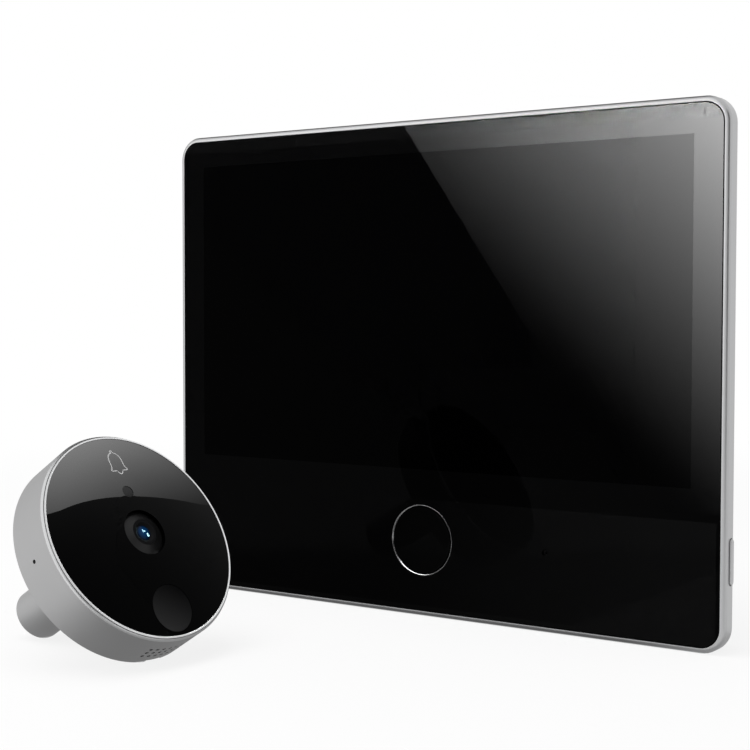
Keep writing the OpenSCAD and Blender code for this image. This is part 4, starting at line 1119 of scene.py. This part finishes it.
@dataclass
class GlassFront:
    """The monitor's glass pane with the home key and its ring."""

    width: float = 169.4
    height: float = 131.0
    thickness: float = 1.1
    corner: float = 5.0
    rim: float = 1.5
    edge: float = 0.25
    hole_edge: float = 0.06
    key_y: float = 20.7
    hole_r: float = 9.63
    ring_r: float = 9.58
    ring_inner: float = 9.14
    ring_depth: float = 0.3
    ring_land: float = 0.15
    ring_edge: float = 0.05
    ring_foot: float = 0.06
    flange_r: float = 10.8
    flange_t: float = 0.5
    cap_r: float = 8.98
    cap_t: float = 1.9
    cap_flange_r: float = 9.75
    cap_flange_t: float = 0.7
    cap_edge: float = 0.1
    cap_flat: float = 0.9
    mic_x: float = 37.5
    mic_r: float = 0.75

    def pane(self) -> bpy.types.Object:
        """Builds the glass with ground edges and its two openings."""
        middle = self.rim + self.height / 2
        loops = [
            round_rect(self.width, self.height, self.corner, 0, middle),
            circle(self.hole_r, 0, self.key_y, 128, hole=True),
            circle(self.mic_r, self.mic_x, self.key_y, 32, hole=True),
        ]
        rings = [(d, -drop) for d, drop in soft_edge(self.edge)] + [(0, -self.thickness)]
        openings = [(self.hole_edge, 0), (0, -self.hole_edge), (0, -self.thickness)]
        return seat(solid("glass_pane", plate(loops, rings, openings), FRONT), COVER_GLASS, Body.MONITOR,
                    "cover_glass", "cover_glass")

    def ring(self) -> bpy.types.Object:
        """Builds the thin ring, bevelled towards the key."""
        back = -self.thickness - self.flange_t
        profile = softened([
            (self.ring_inner, back, 0), (self.flange_r, back, 0), (self.flange_r, -self.thickness, 0),
            (self.ring_r, -self.thickness, 0), (self.ring_r, 0, self.ring_edge),
            (self.ring_r - self.ring_land, 0, self.ring_edge),
            (self.ring_inner, -self.ring_depth, self.ring_foot),
        ], 4)
        place = FRONT @ Matrix.Translation((0, self.key_y, 0))
        return seat(solid("home_key_ring", turned(profile), place), RING_METAL, Body.MONITOR,
                    "ring_metal", "home_ring")

    def cap(self) -> bpy.types.Object:
        """Builds the home key's cap with a soft edge and its flange."""
        back = -self.cap_t - self.cap_flange_t
        soft = self.cap_edge
        side = softened([
            (self.cap_r, 0, soft), (self.cap_r, -self.cap_t, 0), (self.cap_flange_r, -self.cap_t, soft),
            (self.cap_flange_r, back, soft), (0.01, back, 0),
        ], 5)
        profile = [(0, 0), (self.cap_r * self.cap_flat, 0)] + side[:-1] + [(0, back)]
        place = FRONT @ Matrix.Translation((0, self.key_y, 0))
        return seat(solid("home_key_cap", turned(profile), place), KEY_GLASS, Body.HOME,
                    "key_cap", "home_button")

    def build(self) -> list[bpy.types.Object]:
        """Builds all its pieces and returns the glass that the sheen falls on, then the ring."""
        return [self.pane(), self.cap(), self.ring()]


@dataclass
class SideKey:
    """The long key in the monitor's right side."""

    length: float = 11.2
    width: float = 1.9
    out_x: float = 86.65
    flange_x: float = 84.5
    flange_t: float = 1.0
    flange: float = 0.6
    depth_y: float = -4.3
    middle_z: float = 22.5
    edge: float = 0.3

    def build(self) -> bpy.types.Object:
        """Builds the key with rounded edges and its flange inside the wall."""
        place = facing((0, 1, 0), (0, 0, 1), (0, self.depth_y, self.middle_z))
        outline = round_rect(self.width, self.length, self.width / 2 - 0.01, steps=12)
        rings = [(d, self.out_x - drop) for d, drop in soft_edge(self.edge)]
        inner = self.flange_x - self.flange_t
        rings += [(0, self.flange_x), (-self.flange, self.flange_x), (-self.flange, inner)]
        return seat(solid("side_key_pill", plate([outline], rings), place), FRAME_METAL, Body.SIDE,
                    "frame_metal", "side_button")


# Camera unit


@dataclass
class CameraFace:
    """The domed glass face with the bell sign and the lens."""

    depth: float = 12.75
    face_r: float = 25.9
    sag: float = 1.7
    sign_y: float = 18.92
    sign_tall: float = 7.25
    sign_x: float = 0.6
    sign_wide: float = 0.87
    line: float = 0.27
    line_h: float = 0.015
    lens_r: float = 1.95
    lens_seat_r: float = 1.8
    lens_top: float = 14.28
    lens_low: float = 12.315
    crown: float = 0.43
    lens_rim: float = 0.2
    lens_steps: int = 16

    def dome(self, x: float, y: float) -> float:
        """Gives the height of the domed glass at a place on the face."""
        r = (self.face_r**2 + self.sag**2) / (2 * self.sag)
        return self.depth + self.sag - r + math.sqrt(r * r - x * x - y * y)

    def sign(self) -> bpy.types.Object:
        """Draws the bell as one thin line with its clapper."""
        s = self.sign_tall / 6.9
        w = s * self.sign_wide
        half = [(0.34, 3.05), (0.42, 2.75), (1.0, 2.5), (1.65, 1.95), (2.0, 1.1), (2.1, 0.1), (2.15, -0.8),
                (2.35, -1.35), (2.62, -1.7), (2.52, -1.98), (2.1, -2.02), (0.95, -2.02)]
        fine = self.smooth(half)
        outline = [(self.sign_x + w * x, self.sign_y + s * y) for x, y in fine]
        mirror = [(self.sign_x - w * x, self.sign_y + s * y) for x, y in fine]
        tip = [(self.sign_x + w * 0.78 * math.sin(a), self.sign_y + s * (-2.08 - 0.82 * math.cos(a)))
               for a in (math.radians(d) for d in range(-80, 81, 16))]
        knob = [(self.sign_x + w * 0.34 * math.sin(a), self.sign_y + s * (3.05 + 0.3 * math.cos(a)))
                for a in (math.radians(d) for d in range(-90, 91, 30))]
        bm = stroke([outline, mirror, tip, knob], self.line, self.dome, self.line_h)
        return seat(solid("bell_sign", bm, UNIT), SIGN_WHITE, Body.UNIT, "touch_metal")

    @staticmethod
    def smooth(points: Sequence[Point], steps: int = 5) -> list[Point]:
        """Runs a smooth curve through points."""
        out = []
        for i in range(len(points) - 1):
            p = [Vector(points[max(0, min(len(points) - 1, i + k))]) for k in (-1, 0, 1, 2)]
            for k in range(steps):
                t = k / steps
                a = p[1] * 2 + (p[2] - p[0]) * t
                b = (p[0] * 2 - p[1] * 5 + p[2] * 4 - p[3]) * t * t
                c = (p[1] * 3 - p[0] - p[2] * 3 + p[3]) * t**3
                out.append(tuple((a + b + c) / 2))
        return out + [points[-1]]

    def lens(self) -> bpy.types.Object:
        """Builds the domed front lens with a ground rim."""
        r = (self.lens_r**2 + self.crown**2) / (2 * self.crown)
        reach = math.asin(self.lens_r / r)
        turns = [reach * i / self.lens_steps for i in range(self.lens_steps + 1)]
        arc = [(r * math.sin(a), self.lens_top - r + r * math.cos(a)) for a in turns]
        rim = self.lens_top - self.crown - self.lens_rim
        profile = arc + [(self.lens_seat_r, rim), (self.lens_seat_r, self.lens_low), (0, self.lens_low)]
        middle = UNIT @ Vector((0, 0, self.lens_top))
        finish = LensFinish("lens_glass", (0.003, 0.05, 0.16), roughness=0.05, specular=0.06, size=5,
                            depth=0.0, tone=0.1, span=0.01, middle=tuple(middle), radius=self.lens_r)
        obj = solid("coated_lens", turned(profile, 64), UNIT)
        return seat(obj, finish, Body.UNIT, "lens_glass", "front_lens")

    def build(self) -> tuple[list[bpy.types.Object], list[bpy.types.Object]]:
        """Builds its pieces and returns what the face's sheen and the lens's glints fall on."""
        self.sign()
        return [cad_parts[name] for name in ("face_glass", "light_sensor")], [self.lens()]


@dataclass
class CameraBody:
    """The camera unit's bezel and bright cut edge, and its back with screws, gasket and barrel."""

    bezel_in: float = 25.95
    bezel_out: float = 26.4
    bezel_low: float = 11.6
    bezel_top: float = 12.9
    bezel_soft: float = 0.12
    edge_r: float = 27.0
    edge_in: float = 26.5
    edge_low: float = 11.96
    edge_top: float = 12.5
    edge_crown: float = 0.05
    edge_sunk: float = 0.12
    edge_steps: int = 8
    screw_at: float = 23.2
    screw_z: float = 1.1
    screw_turns: Sequence[float] = (90.0, 210.0, 330.0)
    rib_first: float = 14.3
    rib_step: float = 1.1
    rib_count: int = 5
    rib_r: float = 0.22
    rib_sunk: float = 0.05
    gasket_z: float = -0.4
    bore_r: float = 5.0
    bore_end: float = -32.9
    thread_l: float = 13.0
    thread_turns: float = 13.0
    thread_r: float = 0.3
    thread_start: float = 0.5

    def bezel(self) -> bpy.types.Object:
        """Builds the bezel as a band with soft front edges, inside the groove of the housing."""
        soft = self.bezel_soft
        profile = [(self.bezel_in, self.bezel_low), (self.bezel_out, self.bezel_low)]
        for middle, first in ((self.bezel_out - soft, 0), (self.bezel_in + soft, 90)):
            for turn in range(first, first + 91, 18):
                a = math.radians(turn)
                profile.append((middle + soft * math.cos(a), self.bezel_top - soft + soft * math.sin(a)))
        return seat(solid("bezel_band", turned(profile, 192), UNIT), BRIGHT_METAL, Body.UNIT,
                    "bright_metal", "bezel_ring")

    def edge(self) -> bpy.types.Object:
        """Rolls the bright cut edge of the housing over its front bevel."""
        low = Vector((self.edge_r, self.edge_low))
        high = Vector((self.edge_in, self.edge_top))
        bulge = Vector((self.edge_crown, self.edge_crown))
        shares = [i / self.edge_steps for i in range(self.edge_steps + 1)]
        arc = [tuple(low.lerp(high, share) + bulge * math.sin(math.pi * share)) for share in shares]
        inner = (self.edge_in, self.edge_top - self.edge_sunk)
        outer = (self.edge_r - self.edge_sunk, self.edge_low)
        obj = solid("housing_edge", turned(arc + [inner, outer], 192), UNIT)
        return seat(obj, BRIGHT_METAL, Body.UNIT, "bright_metal")

    def screws(self) -> bpy.types.Object:
        """Sets the three screws of the rear plate."""
        screw = Screw(head_r=1.9, head_t=1.1, shaft_r=1.0, shaft_l=3.4).shape()
        turns = [math.radians(a) for a in self.screw_turns]
        points = [(self.screw_at * math.cos(a), self.screw_at * math.sin(a), self.screw_z) for a in turns]
        obj = Repeats.copies("plate_screw_set", screw, SCREW_STEEL, UNIT, points, (math.pi, 0, 0))
        return seat(obj, SCREW_STEEL, Body.UNIT, "screw_steel", "plate_screws")

    def ribs(self) -> bpy.types.Object:
        """Lays the sealing ribs on the gasket."""
        values = {"First": self.rib_first, "Step": self.rib_step, "Count": self.rib_count,
                  "Depth": self.rib_r, "Finish": GASKET_RUBBER.material()}
        place = UNIT @ Matrix.Translation((0, 0, self.gasket_z + self.rib_sunk))
        return seat(Repeats.grow("gasket_ribs", Repeats.ribs(), values, place), GASKET_RUBBER, Body.UNIT,
                    "gasket_rubber")

    def thread(self) -> bpy.types.Object:
        """Cuts the thread in the barrel's open end, where the sleeve from the inside screws in."""
        values = {"Radius": self.bore_r, "Length": self.thread_l, "Turns": self.thread_turns,
                  "Depth": self.thread_r, "Finish": BARREL_METAL.material()}
        place = UNIT @ Matrix.Translation((0, 0, self.bore_end + self.thread_start))
        return seat(Repeats.grow("bore_thread", Repeats.thread(), values, place), BARREL_METAL, Body.UNIT,
                    "barrel_metal")

    def build(self) -> bpy.types.Object:
        """Builds its pieces and returns the bezel, which has a card of its own."""
        self.screws()
        self.ribs()
        self.thread()
        self.edge()
        return self.bezel()


# Stage


@dataclass
class Stage:
    """Floor, world, lamps, reflector cards and camera."""

    camera_at: Sequence[float] = (220.7, -350.3, 82.4)
    right: Sequence[float] = (0.8236, 0.5672, 0.0015)
    up: Sequence[float] = (-0.0248, 0.0335, 0.9991)
    focal_px: float = 1515.1
    frame_px: float = 750.0
    sensor: float = 36.0
    ambient: float = 0.6
    lens_at: Sequence[float] = (-26.7, -87.3, 30.1)
    glint_ways: Sequence[tuple[Sequence[float], float, float]] = (
        ((0.433, 0.57, 0.698), 60, 8),
        ((0.449, 0.836, 0.314), 60, 8),
    )
    glint_glow: float = 110.0
    glint_tint: Colour = (0.5, 0.9, 1.0)
    floor_half: float = 3.0
    floor_colour: float = 0.115
    floor_glow: float = 0.845
    fade_from: float = 0.22
    fade_to: float = 0.6
    clip: float = 0.01
    overhead_at: Sequence[float] = (-150, -250, 800)
    overhead_to: Sequence[float] = (0, -40, 40)
    overhead_size: float = 0.7
    overhead_watts: float = 6.0
    gamma: float = 2.2
    pane_y: float = -250.0
    pane_low: Point = (-35.5, -20.0)
    pane_high: Point = (-188.3, 200.0)
    pane_right: float = 30.0
    pane_rows: int = 24
    pane_columns: int = 16
    pane_gain: float = 0.9
    pane_level: Sequence[float] = (2.0, 0.0737, 0.0858)
    face_y: float = -10.0
    face_edge: Sequence[Point] = (
        (133, 262), (109.1, 230.9), (87.7, 206.1), (65.8, 180.5), (49.4, 159.6), (36.6, 142.0),
        (26.4, 126.8), (17.8, 113.5), (10.6, 101.6), (4.5, 90.9), (-0.8, 81.2), (-6.8, 69.4), (-13, 57),
    )
    face_step: Point = (8.0, 6.0)
    face_steps: int = 16
    face_level: Sequence[float] = (-4.985, -0.0508, 0.10548, -0.000145)
    face_least: float = 0.5
    face_most: float = 9.0
    dim_glow: float = 2.0
    dim_fall: float = 32.0
    dark_glow: float = 0.85
    veil_y: float = -8.6
    veil_shift: float = 0.7
    chin_zs: Point = (1.5, 31.8)
    chin_glow: float = 1.9
    brow_zs: Point = (129.2, 132.7)
    brow_glow: float = 0.8
    brow_rise: float = 0.012
    chin_from: float = -10.0
    chin_run: float = 85.0
    brow_from: float = -84.0
    brow_end: float = 40.0
    brow_run: float = 30.0
    bezel_glow: float = 1.25
    bezel_fade: float = 0.01
    bezel_fade_z: float = 95.0
    bezel_floor_glow: float = 0.65
    ring_glow: float = 6.0
    lip_glow: float = 0.85
    black: float = 0.02
    # Painted shadow on the floor near the camera unit's foot, seen only in reflections.
    floor_shadow_from: float = -120.0
    floor_shadow_turn: float = 0.68
    floor_shadow_run: float = 45.0
    floor_shadow_dark: float = 0.35
    floor_shadow_gain: float = 0.6
    # Painted shadow on the floor below the monitor, seen only in reflections.
    foot_shadow_from: float = 65.0
    foot_shadow_run: float = 40.0
    foot_shadow_dark: float = 0.2
    foot_shadow_gain: float = 0.75
    left_from: float = -250.0
    left_fade: float = 0.00067

    def camera(self) -> None:
        """Sets the camera at the photograph's viewing angle."""
        data = bpy.data.cameras.new("camera")
        data.sensor_width = self.sensor
        data.lens = self.sensor * self.focal_px / self.frame_px
        data.clip_start = self.clip
        cam = placed("camera", data)
        right = Vector(self.right)
        up = Vector(self.up)
        turn = Matrix((right, up, right.cross(up))).transposed().to_4x4()
        cam.matrix_world = Matrix.Translation(Vector(self.camera_at) * MM) @ turn
        bpy.context.scene.camera = cam

    @staticmethod
    def seen(t: Tree) -> bpy.types.NodeSocket:
        """Gives one for rays that show the background: seen, mirrored or through glass."""
        path = t.add("ShaderNodeLightPath").outputs
        both = t.math("MAXIMUM", path["Is Camera Ray"], path["Is Glossy Ray"])
        return t.math("MAXIMUM", both, path["Is Transmission Ray"])

    def world(self) -> None:
        """Makes a white surrounding that lights the set softly."""
        world = bpy.data.worlds.new("studio")
        world.use_nodes = True
        t = Tree(world.node_tree)
        back = world.node_tree.nodes["Background"]
        back.inputs["Color"].default_value = (1, 1, 1, 1)
        level = t.math("MULTIPLY_ADD", self.seen(t), 1.0 - self.ambient, self.ambient)
        t.tree.links.new(level, back.inputs["Strength"])
        bpy.context.scene.world = world

    def floor(self) -> None:
        """Lays a pale floor that keeps the shadow near the set and fades to white around it."""
        bm = bmesh.new()
        bmesh.ops.create_grid(bm, x_segments=2, y_segments=2, size=self.floor_half)
        obj = placed("floor", mesh_of("floor", bm))
        mat = bpy.data.materials.new("floor")
        mat.use_nodes = True
        t = Tree(mat.node_tree)
        t.tree.nodes.clear()
        seen = self.seen(t)
        where = t.add("ShaderNodeTexCoord").outputs["Object"]
        away = t.add("ShaderNodeVectorMath", {0: where}, operation="LENGTH").outputs["Value"]
        values = {"Value": away, 1: self.fade_from, 2: self.fade_to}
        far = t.add("ShaderNodeMapRange", values, interpolation_type="SMOOTHSTEP")
        share = t.math("MULTIPLY", far.outputs[0], seen)
        matt = t.add("ShaderNodeBsdfDiffuse", {"Color": (*[self.floor_colour] * 3, 1)})
        glow = t.add("ShaderNodeEmission", {"Strength": t.math("MULTIPLY", seen, self.floor_glow)})
        near = t.add("ShaderNodeAddShader", {0: matt.outputs[0], 1: glow.outputs[0]})
        white = t.add("ShaderNodeEmission", {"Strength": 1.0})
        mix = t.add("ShaderNodeMixShader", {0: share, 1: near.outputs[0], 2: white.outputs[0]})
        t.add("ShaderNodeOutputMaterial", {0: mix.outputs[0]})
        obj.data.materials.append(mat)

    def lamp(self, name: str, at: Sequence[float], to: Sequence[float], size: float,
             watts: float) -> bpy.types.Object:
        """Hangs a square softbox.

        Args:
            name: Its name.
            at: Its place in millimetres.
            to: The point that it faces, in millimetres.
            size: Its side in metres.
            watts: Its power.

        Returns:
            The lamp.
        """
        data = bpy.data.lights.new(name, "AREA")
        data.size = size
        data.energy = watts
        obj = placed(name, data)
        aim = (Vector(to) - Vector(at)).to_track_quat("-Z", "Y")
        obj.matrix_world = Matrix.Translation(Vector(at) * MM) @ aim.to_matrix().to_4x4()
        obj.visible_glossy = False
        return obj

    @staticmethod
    def sheet(name: str, rows: Sequence[Sequence[Vector]], glow: Callable[[Vector], float], clear: bool,
              tint: Colour = (1.0, 1.0, 1.0)) -> bpy.types.Object:
        """Stands a sheet that only shows in shiny surfaces.

        Args:
            name: Its name.
            rows: Its points in millimetres, row by row.
            glow: Brightness at a point of it.
            clear: Whether what is behind it shows through.
            tint: Its colour.

        Returns:
            The sheet.
        """
        bm = bmesh.new()
        grid = [[bm.verts.new(p * MM) for p in row] for row in rows]
        for a, b in zip(grid, grid[1:]):
            for i in range(len(a) - 1):
                bm.faces.new((a[i], a[i + 1], b[i + 1], b[i]))
        mesh = mesh_of(name, bm)
        values = mesh.attributes.new("glow", "FLOAT", "POINT")
        values.data.foreach_set("value", [max(0.0, glow(v.co / MM)) for v in mesh.vertices])
        obj = placed(name, mesh)
        mat = bpy.data.materials.new(name)
        mat.use_nodes = True
        t = Tree(mat.node_tree)
        t.tree.nodes.clear()
        level = t.add("ShaderNodeAttribute", attribute_name="glow").outputs["Fac"]
        light = t.add("ShaderNodeEmission", {"Color": (*tint, 1), "Strength": level}).outputs[0]
        if clear:
            through = t.add("ShaderNodeBsdfTransparent")
            light = t.add("ShaderNodeAddShader", {0: light, 1: through.outputs[0]}).outputs[0]
        t.add("ShaderNodeOutputMaterial", {0: light})
        mesh.materials.append(mat)
        obj.visible_camera = False
        obj.visible_diffuse = False
        obj.visible_transmission = False
        obj.visible_shadow = False
        return obj

    def card(self, name: str, rows: Sequence[Sequence[Vector]], glow: Callable[[Vector], float],
             receivers: Sequence[bpy.types.Object], tint: Colour = (1.0, 1.0, 1.0)) -> None:
        """Stands a reflector card that only the named pieces show.

        Args:
            name: Its name.
            rows: Its points in millimetres, row by row.
            glow: Brightness at a point of it.
            receivers: The pieces that mirror it.
            tint: Its colour.
        """
        obj = self.sheet(name, rows, glow, True, tint)
        shown = bpy.data.collections.new(name + "_shows_in")
        for piece in receivers:
            shown.objects.link(piece)
        obj.light_linking.receiver_collection = shown

    def pane_card(self, receivers: Sequence[bpy.types.Object]) -> None:
        """Stands the card whose slanting edge shows in the monitor's glass."""
        y = self.pane_y
        low = Vector((self.pane_low[0], y, self.pane_low[1]))
        high = Vector((self.pane_high[0], y, self.pane_high[1]))
        columns = self.pane_columns
        rows = []
        for i in range(self.pane_rows + 1):
            edge = low.lerp(high, i / self.pane_rows)
            xs = [edge.x + (self.pane_right - edge.x) * k / columns for k in range(columns + 1)]
            rows.append([Vector((x, y, edge.z)) for x in xs])
        base, across, rise = self.pane_level

        def glow(p: Vector) -> float:
            """Gives the light at a point, which grows to the upper right."""
            return self.pane_gain * max(0.0, base + across * p.x + rise * p.z) ** self.gamma

        self.card("pane_card", rows, glow, receivers)

    def face_card(self, receivers: Sequence[bpy.types.Object]) -> None:
        """Stands the cards whose curved edge shows in the camera unit's domed glass."""
        y = self.face_y
        dx, dz = self.face_step
        steps = range(self.face_steps)
        fine = CameraFace.smooth(self.face_edge, 4)
        bright = [[Vector((x - dx * k, y, z + dz * k)) for k in steps] for x, z in fine]
        dim = [[Vector((x + dx * k, y, z - dz * k)) for k in steps] for x, z in fine]
        base, across, rise, bend = self.face_level

        def glow(p: Vector) -> float:
            """Gives the light at a point of the bright side."""
            level = base + across * p.x + rise * p.z + bend * p.z**2
            return min(max(self.face_least, level), self.face_most) ** self.gamma

        def faint(p: Vector) -> float:
            """Gives the light at a point of the dim side, which falls away from the edge."""
            away = min(math.hypot(p.x - x, p.z - z) for x, z in fine)
            return self.dim_glow * math.exp(-away / self.dim_fall)

        self.card("face_card", bright, glow, receivers)
        self.card("face_card_dim", dim, faint, receivers)
        glass = self.wall(-7.7, (-84.6, 84.6), (1.6, 132.4))
        self.card("dark_glass_card", glass, lambda p: self.dark_glow, receivers)

    def veil(self, receivers: Sequence[bpy.types.Object]) -> None:
        """Lays a faint sheen over the glass below and above the screen."""
        across = [x - self.veil_shift for x in range(-84, 85, 12)]

        def chin_glow(p: Vector) -> float:
            """Gives the sheen's light below the screen, which grows to the right."""
            return self.chin_glow * clamped((p.x - self.chin_from) / self.chin_run)

        def brow_glow(p: Vector) -> float:
            """Gives the sheen's light above the screen, which ends before the bright corner."""
            rising = self.brow_glow + self.brow_rise * (p.x - self.brow_from)
            return max(0.0, min(rising, (self.brow_end - p.x) / self.brow_run))

        self.card("chin_card", self.wall(self.veil_y, across, self.chin_zs), chin_glow, receivers)
        self.card("brow_card", self.wall(self.veil_y, across, self.brow_zs), brow_glow, receivers)

    @staticmethod
    def flat(z: float, xs: Sequence[float], ys: Sequence[float]) -> list[list[Vector]]:
        """Gives the points of a level sheet, row by row."""
        return [[Vector((x, y, z)) for x in xs] for y in ys]

    @staticmethod
    def wall(y: float, xs: Sequence[float], zs: Sequence[float]) -> list[list[Vector]]:
        """Gives the points of an upright sheet that faces along y, row by row."""
        return [[Vector((x, y, z)) for x in xs] for z in zs]

    def glints(self, receivers: Sequence[bpy.types.Object]) -> None:
        """Stands the two small cards that glint in the lens."""
        for i, (way, reach, size) in enumerate(self.glint_ways):
            middle = Vector(self.lens_at) + Vector(way) * reach
            aim = Vector(way).to_track_quat("Z", "Y")
            rows = [[middle + aim @ Vector((a, b, 0.0)) * size for a in (-1, 1)] for b in (-1, 1)]
            self.card(f"glint_card_{i}", rows, lambda p: self.glint_glow, receivers, self.glint_tint)

    def flags(self) -> None:
        """Stands the dark flags that shape the metal; two of them are painted shadow on the floor, seen only
        in reflections.
        """

        def floor_shadow_glow(p: Vector) -> float:
            """Gives the painted shadow's brightness on the floor, which falls near the camera unit's foot.
            """
            t = clamped((self.floor_shadow_from - p.y - self.floor_shadow_turn * p.x) / self.floor_shadow_run)
            return self.floor_shadow_dark + self.floor_shadow_gain * t * t * (3 - 2 * t)

        def foot_shadow_glow(p: Vector) -> float:
            """Gives the painted shadow's brightness below the monitor, which grows to the right."""
            return self.foot_shadow_dark + self.foot_shadow_gain * clamped((p.x - self.foot_shadow_from) / self.foot_shadow_run)

        def left_light(p: Vector) -> float:
            """Gives the brightness to the left, which falls to the back."""
            return 1.0 - self.left_fade * (p.y - self.left_from)

        # Painted shadow: a sheet just above the floor, seen only in reflections, darker near the camera
        # unit's foot.
        self.sheet("floor_flag", self.flat(0.4, range(-130, 41, 10), range(-180, -17, 9)), floor_shadow_glow, False)
        # Painted shadow: a strip on the floor below the monitor, seen only in reflections, darkest to the
        # left.
        foot = self.flat(0.3, (-92, 60, 75, 85, 95, 110), (-9.5, 12))
        self.sheet("foot_flag", foot, foot_shadow_glow, False)
        back = [[Vector((x, y, z)) for x in (-1000, -60)] for y, z in ((500, 0), (500, 800), (60, 800))]
        self.sheet("back_flag", back, lambda p: self.black, False)
        left = [[Vector((-640, y, z)) for y in (-250, 100, 500)] for z in (0, 420)]
        self.sheet("left_flag", left, left_light, False)
        side = [[Vector((x, y, z)) for x, y in ((430, -420), (590, -150))] for z in (0, 500)]
        self.sheet("side_flag", side, lambda p: self.black, False)

    def build(self, pane: Sequence[bpy.types.Object], ring: bpy.types.Object,
              face: Sequence[bpy.types.Object], lens: Sequence[bpy.types.Object],
              bezel: bpy.types.Object) -> None:
        """Sets up the stage.

        Args:
            pane: The pieces that mirror the monitor's card.
            ring: The home key's ring.
            face: The pieces that mirror the camera unit's card.
            lens: The pieces that the small glints show in.
            bezel: The camera unit's bezel.
        """
        self.camera()
        self.world()
        self.floor()
        self.lamp("overhead", self.overhead_at, self.overhead_to, self.overhead_size, self.overhead_watts)
        self.pane_card(pane)
        self.face_card(face)
        self.veil(pane)
        self.glints(lens)
        front = self.wall(-12.0, (-90.0, 60.0), (5.0, 95.0, 135.0))

        def bezel_light(p: Vector) -> float:
            """Gives the bezel card's light, which falls near its top."""
            return self.bezel_glow - self.bezel_fade * max(0.0, p.z - self.bezel_fade_z)

        self.card("bezel_card", front, bezel_light, [bezel])
        below = self.flat(0.6, (-20, 90), (-140, -20))
        self.card("bezel_floor_card", below, lambda p: self.bezel_floor_glow, [bezel])
        above = self.flat(300.0, (-330, 150), (-220, 10))
        self.card("ring_card", above, lambda p: self.ring_glow, [ring])
        lip = self.wall(-600.0, (-900.0, 60.0), (-150.0, 1300.0))
        self.card("lip_card", lip, lambda p: self.lip_glow, [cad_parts["front_frame"]])
        self.flags()
        bpy.context.scene.view_settings.view_transform = "Standard"


def dress_nodes() -> None:
    """Gives every solid of the frame its finish."""
    for name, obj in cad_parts.items():
        material = NODE_FINISHES[name].material() if name in NODE_FINISHES else CHIP.material()
        for slot in obj.material_slots:
            slot.material = material
        log.info("%s takes %s", name, material.name)


def main() -> None:
    """Builds the set piece by piece."""
    logging.basicConfig(level=logging.INFO, format="%(name)s: %(message)s")
    dress_nodes()
    RearCover().build()
    DoorBracket().build()
    *pane, ring = GlassFront().build()
    SideKey().build()
    face, lens = CameraFace().build()
    bezel = CameraBody().build()
    Stage().build(pane, ring, face, lens, bezel)


if __name__ == "__main__":
    main()
